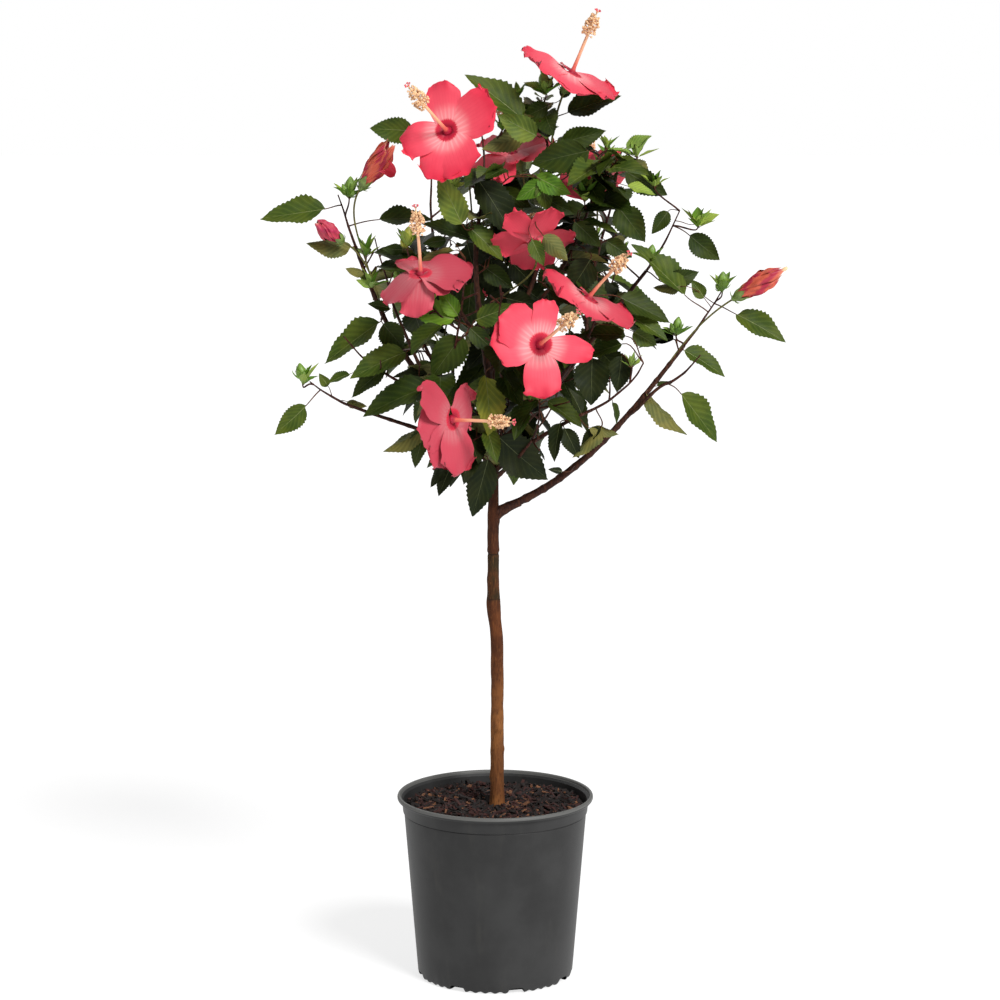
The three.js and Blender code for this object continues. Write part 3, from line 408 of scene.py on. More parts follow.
def bezier(foot, first, last, tip, t):
    t = np.asarray(t, float)[..., None]
    s = 1 - t
    return s ** 3 * foot + 3 * s * s * t * first + 3 * s * t * t * last + t ** 3 * tip


# Meshes: each piece gathers points and faces, and is made into one object at the end.

def newMesh(name, points, faces):
    mesh = bpy.data.meshes.new(name)
    mesh.from_pydata((np.asarray(points, float) * metres).tolist(), [], faces)
    return mesh


def newObject(name, data):
    added = bpy.data.objects.new(name, data)
    bpy.context.scene.collection.objects.link(added)
    return added


class Piece:
    def __init__(self, name):
        self.name = name
        self.points = []
        self.faces = []
        self.count = 0
        self.values = {}

    def add(self, points, faces, **values):
        points = np.asarray(points, float).reshape(-1, 3)
        self.points.append(points)
        self.faces.append(np.asarray(faces, int) + self.count)
        self.count += len(points)
        for key, value in values.items():
            self.values.setdefault(key, []).append(np.broadcast_to(value, len(points)).ravel())

    def make(self, material, slot, nodes, sharp=None, flat=False):
        faces = [face.tolist() for block in self.faces for face in block]
        mesh = newMesh(self.name, np.concatenate(self.points), faces)
        for key, values in self.values.items():
            layer = mesh.attributes.new(key, "FLOAT", "POINT")
            layer.data.foreach_set("value", np.concatenate(values).astype(np.float32))
        return shown(self.name, mesh, material, nodes, sharp, flat)


def shown(name, mesh, material, nodes, sharp=None, flat=False):
    # The mesh as a piece of the plant that stands for the nodes.
    if not flat:
        mesh.shade_smooth()
    if sharp:
        mesh.set_sharp_from_angle(angle=radians(sharp))
    mesh.materials.append(material)
    piece = newObject(name, mesh)
    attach(piece, "root")
    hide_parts(*nodes)
    return piece


def gridFaces(rows, columns, closed=False):
    across = columns if closed else columns - 1
    row, column = np.meshgrid(np.arange(rows - 1), np.arange(across), indexing="ij")
    start = (row * columns + column).ravel()
    beside = (row * columns + (column + 1) % columns).ravel()
    return np.stack([start, beside, beside + columns, start + columns], axis=1)


def tubePoints(path, radii, sides, bump=None):
    path = np.asarray(path, float)
    headings = np.gradient(path, axis=0)
    headings /= norm(headings, axis=1)[:, None]
    angles = circle(sides)
    side = sideOf(headings[0])
    rings = []
    for k, heading in enumerate(headings):
        side = carried(side, heading)
        other = np.cross(heading, side)
        radius = radii[k] * (1 if bump is None else bump[k])
        ring = np.cos(angles)[:, None] * side + np.sin(angles)[:, None] * other
        rings.append(path[k] + ring * np.broadcast_to(radius, sides)[:, None])
    return np.array(rings)


def addTube(piece, path, radii, sides, bump=None, **values):
    rings = tubePoints(path, radii, sides, bump)
    points = np.concatenate([[path[0]], rings.reshape(-1, 3), [path[-1]]])
    last = len(points) - 1
    start = last - sides
    caps = []
    for i in range(sides):
        caps.append([0, 1 + (i + 1) % sides, 1 + i])
        caps.append([start + i, start + (i + 1) % sides, last])
    spread = {}
    for key, value in values.items():
        value = np.asarray(value, float)
        rows = np.repeat(value, sides) if value.ndim == 1 else value.ravel()
        spread[key] = np.concatenate([rows[:1], rows, rows[-1:]])
    piece.add(points, gridFaces(len(path), sides, True) + 1, **spread)
    piece.faces.append(np.array(caps) + piece.count - len(points))


# Materials.

class Wire:
    def __init__(self, paint, socket):
        self.paint = paint
        self.socket = socket

    def maths(self, operation, first, second):
        return self.paint.node("ShaderNodeMath", {"operation": operation}, {0: first, 1: second})

    def __add__(self, other):
        return self.maths("ADD", self, other)

    def __radd__(self, other):
        return self.maths("ADD", other, self)

    def __sub__(self, other):
        return self.maths("SUBTRACT", self, other)

    def __rsub__(self, other):
        return self.maths("SUBTRACT", other, self)

    def __mul__(self, other):
        return self.maths("MULTIPLY", self, other)

    def __rmul__(self, other):
        return self.maths("MULTIPLY", other, self)


def linear(code):
    parts = [int(code[i:i + 2], 16) / 255 for i in (0, 2, 4)]
    curve = [part / 12.92 if part <= 0.04045 else ((part + 0.055) / 1.055) ** 2.4 for part in parts]
    return (*curve, 1)


class Paint:
    def __init__(self, name, **constants):
        self.material = bpy.data.materials.new(name)
        self.material.use_nodes = True
        self.tree = self.material.node_tree
        self.shader = self.tree.nodes["Principled BSDF"]
        for key, value in constants.items():
            self.shader.inputs[key.replace("_", " ")].default_value = value

    def node(self, kind, settings, inputs, output=0):
        node = self.tree.nodes.new(kind)
        for key, value in settings.items():
            setattr(node, key, value)
        for key, value in inputs.items():
            self.join(value, node.inputs[key])
        return Wire(self, node.outputs[output])

    def join(self, value, socket):
        if isinstance(value, Wire):
            self.tree.links.new(value.socket, socket)
        else:
            socket.default_value = linear(value) if isinstance(value, str) else value

    def place(self):
        return self.node("ShaderNodeTexCoord", {}, {}, "Object")

    def height(self):
        return self.node("ShaderNodeSeparateXYZ", {}, {0: self.place()}, 2)

    def noise(self, scale, detail=3, rough=0.55, vector=None):
        inputs = {"Vector": vector or self.place(), "Scale": scale, "Detail": detail, "Roughness": rough}
        return self.node("ShaderNodeTexNoise", {}, inputs)

    def value(self, name):
        return self.node("ShaderNodeAttribute", {"attribute_name": name}, {}, "Fac")

    def spread(self, value, low, high):
        inputs = {"Value": value, "From Min": low, "From Max": high}
        return self.node("ShaderNodeMapRange", {"interpolation_type": "SMOOTHSTEP"}, inputs)

    def stretched(self, x, y, z):
        settings = {"operation": "MULTIPLY"}
        return self.node("ShaderNodeVectorMath", settings, {0: self.place(), 1: (x, y, z)})

    def sine(self, value):
        return self.node("ShaderNodeMath", {"operation": "SINE"}, {0: value})

    def mix(self, factor, first, second):
        return self.node("ShaderNodeMix", {"data_type": "RGBA"}, {0: factor, 6: first, 7: second}, 2)

    def fade(self, value, low, high, first, second):
        return self.mix(self.spread(value, low, high), first, second)

    def finish(self, color=None, roughness=None, height=None, depth=0.001, strength=0.5):
        if color is not None:
            self.join(color, self.shader.inputs["Base Color"])
        if roughness is not None:
            self.join(roughness, self.shader.inputs["Roughness"])
        if height is not None:
            inputs = {"Height": height, "Distance": depth, "Strength": strength}
            self.join(self.node("ShaderNodeBump", {}, inputs), self.shader.inputs["Normal"])
        return self.material


# Trunk, boughs and stalks, by the same curves as the solids.

def trunkPoint(height):
    bend = smooth(height, trunk["knuckle"] - 60, trunk["knuckle"] + 10)
    sway = trunk["sway"] * math.sin((height - trunk["foot"]) / trunk["swayLength"])
    return np.array([trunk["offset"] + trunk["shift"] * bend, sway, height])


def trunkRadius(height):
    rise = (height - trunk["foot"]) / (trunk["top"] - trunk["foot"])
    flare = trunk["flare"] * math.exp(-(height - trunk["foot"]) / trunk["flareHeight"])
    knuckle = math.exp(-((height - trunk["knuckle"]) / trunk["knuckleLength"]) ** 2)
    width = blend(trunk["footWidth"], trunk["topWidth"], rise)
    return (width + flare + trunk["knuckleWidth"] * knuckle) / 2


# Beads: balls along every limb, twig, petal and leaf, which new growth keeps clear of.

limbs = {}
beadPlaces = []
beadRadii = []
beadOwners = []
placesNow = np.zeros((0, 3))
radiiNow = np.zeros(0)
ownersNow = np.array([])


def addBeads(path, radii, owner, spacing=4):
    for k in range(len(path) - 1):
        count = max(1, math.ceil(norm(path[k + 1] - path[k]) / spacing))
        for i in range(count + 1):
            t = i / count
            beadPlaces.append(blend(path[k], path[k + 1], t))
            beadRadii.append(blend(radii[k], radii[k + 1], t))
            beadOwners.append(owner)


def settleBeads():
    global placesNow, radiiNow, ownersNow
    placesNow = np.array(beadPlaces)
    radiiNow = np.array(beadRadii)
    ownersNow = np.array(beadOwners)


def limbPoint(limb, at):
    return rowAt(limb["path"], at * (len(limb["path"]) - 1))


def makeLimb(name, on, at, tip, leave, end, width, spacing):
    foot = trunkPoint(blend(trunk["foot"], trunk["top"], at)) if on == "trunk" else limbPoint(limbs[on], at)
    tip = np.array(tip, float)
    span = norm(tip - foot)
    first = foot + unit(leave) * limbPull * span
    last = tip - unit(end) * limbPull * span
    count = max(4, math.floor(span / spacing + 0.5))
    path = bezier(foot, first, last, tip, steps(count))
    radii = blend(width[0], width[1], steps(count)) / 2
    fine = steps(count * 6)
    limbs[name] = {
        "path": path, "radii": radii, "curve": bezier(foot, first, last, tip, fine),
        "widths": blend(width[0], width[1], fine) / 2,
    }


def makeTrunk():
    rises = [0, 6, 16, 60, 110, 160, 210, 240, 256, 266, 276, 292, 330, 380, 430]
    heights = [*(trunk["foot"] + rise for rise in rises), trunk["top"]]
    path = np.array([trunkPoint(height) for height in heights])
    limbs["trunk"] = {"path": path, "radii": np.array([trunkRadius(height) for height in heights])}


def petalPoint(u, v, index, turn, flare):
    angle = radians(flare)
    edge = [petal["spring"] + petal["length"] * math.sin(angle), petal["length"] * math.cos(angle)]
    out = u * (2 - u) * (1 - 0.1 * v * v)
    radius = (1 - out) ** 2 * 3 + 2 * out * (1 - out) * petal["spring"] + out ** 2 * edge[0]
    height = (1 - out) ** 2 * (2 - petal["throat"]) + out ** 2 * edge[1]
    width = petal["halfWidth"] * np.sin(math.pi * (0.08 + 0.62 * u)) * np.where(u < 0.8, 1, 0.9)
    spin = radians(72 * index + turn)
    across = width * v
    x = radius * math.cos(spin) - across * math.sin(spin)
    y = radius * math.sin(spin) + across * math.cos(spin)
    return np.stack([x, y, height + petal["overlap"] * v * u], axis=-1)


def petalFace(u, v, index, turn, flares, lift):
    u = np.asarray(u, float)
    v = np.asarray(v, float)
    flare = flares[index % 5]
    along = petalPoint(u + 0.05, v, index, turn, flare) - petalPoint(u - 0.05, v, index, turn, flare)
    across = petalPoint(u, v + 0.1, index, turn, flare) - petalPoint(u, v - 0.1, index, turn, flare)
    normal = np.cross(along, across)
    normal /= norm(normal, axis=-1, keepdims=True)
    return petalPoint(u, v, index, turn, flare) + normal * np.asarray(lift)[..., None]


def bloomAxes(face):
    # The turn that carries +Z onto the facing by the shortest way.
    heading = unit(face)
    axis = np.cross(up, heading)
    sine = norm(axis)
    cosine = heading[2]
    axis = axis / sine
    skew = np.array([[0, -axis[2], axis[1]], [axis[2], 0, -axis[0]], [-axis[1], axis[0], 0]])
    return np.eye(3) + sine * skew + (1 - cosine) * skew @ skew


def makeStalk(name, on, at, tip, tipWidth, face):
    out = unit(tip - limbPoint(limbs[on], at))
    makeLimb(name, on, at, tip, out + [0, 0, 0.3], face, [3, tipWidth], 30)


def placeBloom(name):
    # The stalk, and beads over the five petals and along the column.
    on, at, eye, face, turn, flares = blooms[name]
    eye = np.array(eye, float)
    heading = unit(face)
    axes = bloomAxes(face)
    makeStalk(f"stalk_{name}", on, at, eye - heading * calyxDrop, 4.4, face)
    throat = eye - heading * petal["throat"]
    owner = "bloom" if name in screenedBlooms else "face"
    for index in range(5):
        for v in (-1, -0.6, -0.2, 0.2, 0.6, 1):
            line = petalFace(np.array([0.25, 0.5, 0.75, 1]), v, index, turn, flares, 0.0) @ axes.T + eye
            addBeads([throat, *line], [8, 8, 5, 5, 5], owner)
    addBeads([eye + heading * height for height in (-30, -8, columnLength)], [8, 8, 5], owner)


def placeSpentBloom(name):
    on, at, base, face = spentBlooms[name]
    base = np.array(base, float)
    makeStalk(f"stalk_spent_{name}", on, at, base, 4, face)
    addBeads([base + unit(face) * height for height in (-4, 36, 66)], [8, 12, 7], "bloom")


makeTrunk()
addBeads(limbs["trunk"]["path"], limbs["trunk"]["radii"], "trunk")
boughSpacing = 50
for name, spec in boughs.items():
    makeLimb(name, *spec, boughSpacing)
    addBeads(limbs[name]["path"], limbs[name]["radii"], name)
for name in blooms:
    placeBloom(name)
for name in spentBlooms:
    placeSpentBloom(name)
for name in [*blooms, *(f"spent_{name}" for name in spentBlooms)]:
    stalk = limbs[f"stalk_{name}"]
    addBeads(stalk["path"], stalk["radii"], "stalk")
settleBeads()
print("limbs and blooms placed")


# Foliage: twigs by the solids' rule, then the placed leaves, then leaves by the rule.

crowns = {}
for name, (stem, shoots, shoot, lean, reach, size, seed) in masses.items():
    path = limbs[name]["path"]
    heading = unit(path[-1] - path[-2])
    foot = path[-1] + heading * 0.35
    crowns[name] = {
        "name": name, "heading": heading, "foot": foot, "centre": foot + heading * 0.4 * stem,
        "width": limbs[name]["radii"][-1] * 2, "random": seeded(seed), "nodes": [], "reach": reach,
        "stem": stem, "shoots": shoots, "shoot": shoot, "lean": lean, "size": size,
    }
centres = np.array([crown["centre"] for crown in crowns.values()])
twigs = []
twigRule = {
    "spacing": 20, "start": 5, "stemWidth": 3.6, "shootWidth": 2.8, "tipWidth": 1.6,
    "wander": 0.16, "rise": 0.14, "clear": 2, "margin": 4, "tries": 5,
}


def insideSpace(crown, points, margin):
    # Within the crown's reach, and nearer to its middle than to any other crown's.
    points = np.atleast_2d(points)
    own = np.sum((points - crown["centre"]) ** 2, axis=1)
    if np.any(own > (crown["reach"] - margin) ** 2):
        return False
    apart = norm(centres - crown["centre"], axis=1)
    others = apart > 1e-9
    away = np.sum((points[:, None] - centres[others]) ** 2, axis=2) - own[:, None]
    return bool(np.all(away > 2 * margin * apart[others]))


def meetsBeads(points, radius, own=""):
    points = np.atleast_2d(points)
    limit = (radiiNow + radius + clearance) ** 2
    others = ownersNow != own
    away = np.sum((points[:, None] - placesNow[others]) ** 2, axis=2)
    return bool(np.any(away < limit[others]))


def seenFromFront(points):
    # Where the line of sight through each point crosses the plane of the trunk.
    points = np.atleast_2d(points)
    share = -viewpoint[1] / (points[:, 1] - viewpoint[1])
    return viewpoint + (points - viewpoint) * share[:, None]


def coversOpening(points):
    # Whether anything seen there would cover an opening or pass the crown's edge.
    seen = seenFromFront(points)[:, [0, 2]]
    sky = np.array(openings, float)
    away = norm(seen[:, None] - sky[:, :2], axis=2)
    if np.any(away < sky[:, 2]):
        return True
    edge = np.array(crownEdge, float)
    after = np.roll(edge, -1, axis=0)
    x, z = seen[:, [0]], seen[:, [1]]
    spans = (edge[:, 1] > z) != (after[:, 1] > z)
    rise = np.where(after[:, 1] == edge[:, 1], 1, after[:, 1] - edge[:, 1])
    crossing = edge[:, 0] + (z - edge[:, 1]) / rise * (after[:, 0] - edge[:, 0])
    inside = np.sum(spans & (x < crossing), axis=1) % 2 == 1
    return not bool(np.all(inside))


def nextPoint(crown, start, aim, distance, own):
    draw = crown["random"]
    for attempt in range(twigRule["tries"]):
        spread = twigRule["wander"] * (1 + attempt / 2)
        wander = np.array([draw(-spread, spread), draw(-spread, spread), twigRule["rise"]])
        heading = unit(aim + wander)
        point = start + heading * distance
        way = blend(start, point, np.array([[0.2], [0.4], [0.6], [0.8], [1]]))
        if not meetsBeads(way, twigRule["clear"], own) and insideSpace(crown, point, twigRule["margin"]):
            return point, heading
    return None, None


def growTwig(crown, foot, heading, length, width, order):
    # A stem is of order 0 and starts straight, and a side shoot is of order 1.
    count = max(2, math.floor(length / twigRule["spacing"] + 0.5))
    path = [foot, foot + heading * twigRule["start"]] if order == 0 else [foot]
    radii = [width / 2] * len(path)
    firstTurn = crown["random"](0, 360)
    nodes = []
    aim = heading
    side = sideOf(heading)
    for i in range(1, count + 1):
        start = path[-1]
        own = crown["name"] if order == 0 and i == 1 else ""
        point, found = nextPoint(crown, start, aim, length / count, own)
        if point is None:
            break
        aim = found
        side = carried(side, aim)
        path.append(point)
        radii.append(blend(width, twigRule["tipWidth"], i / count) / 2)
        turn = firstTurn + leafTurn * i
        nodes.append({
            "from": start, "point": point, "heading": aim, "side": side, "turn": turn, "last": False,
        })
    if nodes:
        nodes[-1]["last"] = True
    if nodes and (order == 0 or not coversOpening(path[-1])):
        twigs.append({"path": np.array(path), "radii": np.array(radii), "owner": crown["name"]})
        crown["nodes"].extend(nodes)
    return nodes


def growTwigs(crown):
    width = min(crown["width"], twigRule["stemWidth"])
    stem = growTwig(crown, crown["foot"], crown["heading"], crown["stem"], width, 0)
    lean = radians(crown["lean"])
    for k, node in enumerate(stem[:crown["shoots"]]):
        foot = blend(node["from"], node["point"], 0.5)
        if not node["last"]:
            foot = blend(node["point"], stem[k + 1]["point"], 0.12)
        out = outwardAt(node["heading"], node["side"], node["turn"] + (120 if node["last"] else 0))
        heading = unit(node["heading"] * math.cos(lean) + out * math.sin(lean))
        length = crown["shoot"] * crown["random"](0.8, 1.2)
        growTwig(crown, foot, heading, length, twigRule["shootWidth"], 1)


for crown in crowns.values():
    growTwigs(crown)
for twig in twigs:
    addBeads(twig["path"], twig["radii"], twig["owner"])
settleBeads()
print("twigs grown:", len(twigs))

# Colour and roughness of each kind of leaf. Deep, dark, mid and light go from leaves in shade to lit ones:
# painted shade and light as well as the leaves' own green.
leafTones = {
    "deep": ("1e260b", 0.5), "dark": ("2e3c0d", 0.48), "mid": ("455518", 0.48), "light": ("61712a", 0.5),
    "olive": ("6a6a38", 0.6), "bright": ("587c20", 0.48), "young": ("87a044", 0.48),
    "yellow": ("7a7e2c", 0.5),
}
leaves = {shade: [] for shade in leafTones}
petioles = []


def hidesFace(points):
    # Whether a leaf would stand in front of a bloom or of a placed leaf.
    seen = seenFromFront(points)[:, [0, 2]]
    away = norm(seen[:, None] - facePlaces[:, [0, 2]], axis=2)
    behind = np.atleast_2d(points)[:, [1]] < faceDepths - 4
    return bool(np.any((away < faceRadii + 2) & behind))


def addLeaf(shade, root, leave, joint, blade, normal, length, halfWidth, curl, fold, seed):
    # Notes a blade, and its petiole from the root to the joint.
    across = np.cross(normal, blade)
    leaves[shade].append((joint, blade, normal, across, length, halfWidth, curl, fold, seed))
    span = norm(joint - root)
    first = root + unit(leave) * 0.4 * span
    last = joint - blade * 0.35 * span
    petioles.append((bezier(root, first, last, joint, steps(6)), 0.75 if length > 40 else 0.5))


def placesAlong(path, shares):
    return [blend(path[k], path[k + 1], t) for k in range(len(path) - 1) for t in shares]


# Where the placed leaves and the tufts can spring from.
woodPlaces = np.array([
    *(place for name, limb in limbs.items() if not name.startswith("stalk")
      for place in placesAlong(limb["path"], (0, 0.25, 0.5, 0.75))),
    *(place for twig in twigs for place in placesAlong(twig["path"], (0, 0.33, 0.66, 1))),
])


def placeLeaf(place, index):
    # One leaf from the list, on a petiole from the nearest wood.
    startX, startZ, endX, endZ, depth, wide, shade = place
    joint = np.array([startX, depth, startZ], float)
    tip = np.array([endX, depth, endZ], float)
    draw = seeded(500 + index)
    lean = draw(-0.25, 0.1)
    blade = unit(tip - joint + front * -lean * norm(tip - joint))
    length = norm(tip - joint) * 1.03
    full = max(wide, 0.5 * length)
    facing = unit(front - blade * front.dot(blade))
    across = np.cross(facing, blade)
    if across[2] > 0:
        across = -across
    roll = math.acos(min(1, wide / full))
    normal = facing * math.cos(roll) - across * math.sin(roll)
    if shade == "olive":
        normal = -normal
    away = norm((woodPlaces - joint) * [1, 0.6, 1] + blade * 12, axis=1)
    root = woodPlaces[np.argmin(away)]
    leave = joint - root + up * 4
    addLeaf(shade, root, leave, joint, blade, normal, length, full / 2, draw(0.06, 0.16), 0.4, index)
    row = [joint + blade * length * t for t in (0.15, 0.35, 0.55, 0.75, 0.95)]
    addBeads(row, [5, full * 0.36, full * 0.36, full * 0.25, 3], "placed")


leafRule = {
    "sizes": (0.82, 1.12), "endSize": 0.74, "petioles": (14, 26), "halfWidths": (0.25, 0.3),
    "curls": (0.05, 0.16), "folds": (0.3, 0.55), "margin": 1.5,
}
# Places on a blade, along and across, that have to be clear.
leafPlaces = [(0.12, 0), (0.35, 0.7), (0.35, -0.7), (0.4, 0), (0.62, 0.6), (0.62, -0.6), (0.7, 0), (1, 0)]
# The whole crown's middle and half sizes, and how far out from the middle each shade ends: leaves are
# painted darker towards the middle, where the crown is in shade (painted shade).
crownMiddle = [30, 0, 880]
crownHalf = [300, 230, 320]
paintedShadeSteps = {"deep": 0.45, "dark": 0.85, "mid": 1.15}


def shapeLeaf(crown, node, attempt):
    draw = crown["random"]
    outward = outwardAt(node["heading"], node["side"], node["turn"] + 120 * attempt + draw(-12, 12))
    petiole = unit(node["heading"] * 0.5 + outward * 0.9 + up * 0.15)
    flat = unit([petiole[0], petiole[1], 0])
    low = 1 - smooth(node["root"][2], trunk["top"], 1000)
    droop = draw(0, 0.8) + 0.75 * low
    blade = unit(petiole * 0.35 + flat - up * droop)
    roll = draw(-0.6, 0.6)
    level = unit(np.cross(up, blade))
    normal = unit(np.cross(blade, level) + level * roll)
    size = crown["size"] * (leafRule["endSize"] if node["last"] else 1) * draw(*leafRule["sizes"])
    length = bladeLength * size * node.get("part", 1)
    joint = node["root"] + petiole * draw(*leafRule["petioles"]) * size
    halfWidth = length * draw(*leafRule["halfWidths"])
    return {
        "root": node["root"], "petiole": petiole, "blade": blade, "normal": normal, "joint": joint,
        "length": length, "halfWidth": halfWidth, "curl": draw(*leafRule["curls"]),
    }


def leafFits(crown, leaf):
    across = np.cross(leaf["normal"], leaf["blade"])
    points = np.array([
        leaf["joint"] + leaf["blade"] * leaf["length"] * s + across * leaf["halfWidth"] * t
        for s, t in leafPlaces
    ])
    if not insideSpace(crown, points, leafRule["margin"]) or coversOpening(points) or hidesFace(points):
        return False
    near = norm(placesNow - leaf["joint"], axis=1) < leaf["length"] + 20
    away = np.sum((points[:, None] - placesNow[near]) ** 2, axis=2)
    return not bool(np.any(away < (radiiNow[near] + clearance) ** 2))


def shadeOf(leaf, draw):
    # Leaves deep in the crown or low on it are painted darker, as painted shade, and some that show their
    # backs are olive.
    middle = leaf["joint"] + leaf["blade"] * leaf["length"] / 2
    inner = norm((middle - crownMiddle) / crownHalf)
    if leaf["normal"].dot(unit([0, -1, 0.1])) < -0.1 and draw(0, 1) < 0.6:
        return "olive"
    tone = inner + draw(-0.3, 0.3) + (middle[2] - crownMiddle[2]) / 1200
    for shade, end in paintedShadeSteps.items():
        if tone < end:
            return shade
    return "light"


def growLeaves(crown, nodes, tries, spurs=False):
    # Up to two leaves at each node, three at a twig's end, each turned on until it fits.
    for node in nodes:
        before = len(petioles)
        for i in range(3 if node["last"] or spurs else 2):
            root = blend(node["from"], node["point"], 0.9 - 0.25 * i if node["last"] else 0.7)
            start = {**node, "root": root, "turn": node["turn"] + 120 * i}
            for attempt in range(tries):
                leaf = shapeLeaf(crown, start, attempt)
                if not leafFits(crown, leaf):
                    continue
                shade = shadeOf(leaf, crown["random"])
                form = [leaf[key] for key in ("joint", "blade", "normal", "length", "halfWidth", "curl")]
                fold = crown["random"](*leafRule["folds"])
                addLeaf(shade, root, leaf["petiole"], *form, fold, len(petioles))
                row = [leaf["joint"] + leaf["blade"] * leaf["length"] * t for t in (0.2, 0.4, 0.6, 0.9)]
                addBeads(row, [leaf["halfWidth"] * 0.3] * 3 + [2], "leaf")
                settleBeads()
                break
        if spurs and len(petioles) > before:
            path = np.array([node["from"], blend(node["from"], node["point"], 0.5), node["point"]])
            twigs.append({"path": path, "radii": [1.2, 1, 0.8], "owner": ""})


for index, place in enumerate(placedLeaves):
    placeLeaf(place, index)
settleBeads()
faces = np.isin(ownersNow, ("placed", "face"))
faceDepths = placesNow[faces][:, 1]
facePlaces = seenFromFront(placesNow[faces])
faceRadii = radiiNow[faces]
for crown in crowns.values():
    growLeaves(crown, crown["nodes"], 6)
print("leaves grown:", sum(len(group) for group in leaves.values()))

# Spurs: short leafy shoots along the boughs that fill the middle of the crown.

spurRule = {"spacing": 9, "least": 4, "stretch": (0.35, 0.97), "lengths": (12, 30), "leafPart": 1.1}


def growSpurs(crown):
    draw = crown["random"]
    path = limbs[crown["name"]]["curve"]
    span = norm(np.diff(path, axis=0), axis=1).sum()
    nodes = []
    count = max(spurRule["least"], round(span / spurRule["spacing"]))
    for k in range(count):
        t = blend(*spurRule["stretch"], (k + draw(0, 1)) / count)
        place = t * (len(path) - 1)
        i = min(int(place), len(path) - 2)
        root = rowAt(path, place)
        heading = unit(path[i + 1] - path[i])
        side = sideOf(heading)
        out = outwardAt(heading, side, leafTurn * k + draw(0, 60))
        lean = unit(heading * 0.5 + out + up * 0.2)
        point = root + lean * draw(*spurRule["lengths"])
        if meetsBeads(blend(root, point, np.array([[0.6], [1.0]])), 2, crown["name"]):
            continue
        nodes.append({
            "from": root, "point": point, "heading": lean, "side": sideOf(lean), "turn": draw(0, 360),
            "last": True, "part": spurRule["leafPart"],
        })
    return nodes


for crown in crowns.values():
    growLeaves(crown, growSpurs(crown), 5, True)
print("leaves with spurs:", sum(len(group) for group in leaves.values()))

# Tufts: whorls of young leaves at the tips, some with flower buds.

tuftRule = {
    "leaves": 8, "leavesWithBuds": 6, "rises": (0.3, 2.6), "lengths": (16, 31), "halfWidths": (0.14, 0.24),
    "curls": (-0.1, 0.2), "fold": 0.6, "young": 0.55, "buds": [(26, 6), (19, 4.2), (13, 3)],
}
buds = []


def addTuft(place, size, kind, seed):
    draw = seeded(seed)
    place = np.array(place, float)
    away = norm(woodPlaces - place + up * 14, axis=1)
    root = woodPlaces[np.argmin(away)]
    path = bezier(root, root + unit(place - root + up * 9) * 9, place - up * 9, place, steps(5))
    twigs.append({"path": path, "radii": np.linspace(1.3, 0.9, 6), "owner": ""})
    for i in range(tuftRule["leaves"] if kind == "leaves" else tuftRule["leavesWithBuds"]):
        turn = radians(leafTurn * i + draw(-20, 20))
        rise = draw(*tuftRule["rises"])
        blade = unit([math.cos(turn), math.sin(turn), rise])
        across = unit(np.cross(up, blade))
        normal = unit(np.cross(blade, across) + across * draw(-0.4, 0.4))
        length = draw(*tuftRule["lengths"]) * size
        shade = "young" if draw(0, 1) < tuftRule["young"] else "bright"
        joint = place + blade * draw(1, 5)
        halfWidth = length * draw(*tuftRule["halfWidths"])
        form = (normal, length, halfWidth, draw(*tuftRule["curls"]), tuftRule["fold"])
        addLeaf(shade, place, blade, joint, blade, *form, seed + i)
    if kind != "leaves":
        first = draw(0, 360)
        for i, (long, girth) in enumerate(tuftRule["buds"]):
            turn = radians(first + 130 * i)
            lean = 0.15 + 0.3 * i
            heading = unit([math.cos(turn) * lean, math.sin(turn) * lean, 1])
            buds.append((place, heading, long * size, girth * size, draw(0, 100), kind))


for index, (place, size, kind) in enumerate(tufts):
    addTuft(place, size, kind, 900 + 20 * index)
for index, crown in enumerate(crowns.values()):
    end = crown["nodes"][-1]["point"] if crown["nodes"] else None
    if end is not None and not coversOpening(end) and not hidesFace(end):
        addTuft(end, 0.7, "leaves", 1300 + 20 * index)


# Materials of the plant and its pot.

def leafPaint(shade):
    tone, rough = leafTones[shade]
    paint = Paint(f"leaf {shade}", Specular_IOR_Level=0.16)
    red, green, blue, _ = linear(tone)
    cool = (red * 0.75, green * 0.85, blue * 0.95, 1)
    warm = (red * 1.3, green * 1.18, blue * 1.05, 1)
    pale = (red * 1.7 + 0.01, green * 1.5 + 0.01, blue * 1.6 + 0.005, 1)
    cloud = paint.noise(38, 2)
    color = paint.fade(cloud, 0.35, 0.65, cool, warm)
    grain = paint.noise(900, 2)
    wave = paint.sine(paint.value("vein") * 44)
    vein = paint.spread(wave, 0.72, 1.0)
    color = paint.mix(vein * 0.3, color, pale)
    color = paint.mix(paint.spread(0 - wave, 0.0, 0.9) * 0.16, color, (0.0, 0.0, 0.0, 1))
    return paint.finish(color, rough + 0.12 * grain, grain + 1.5 * vein, 0.0004, 0.25)


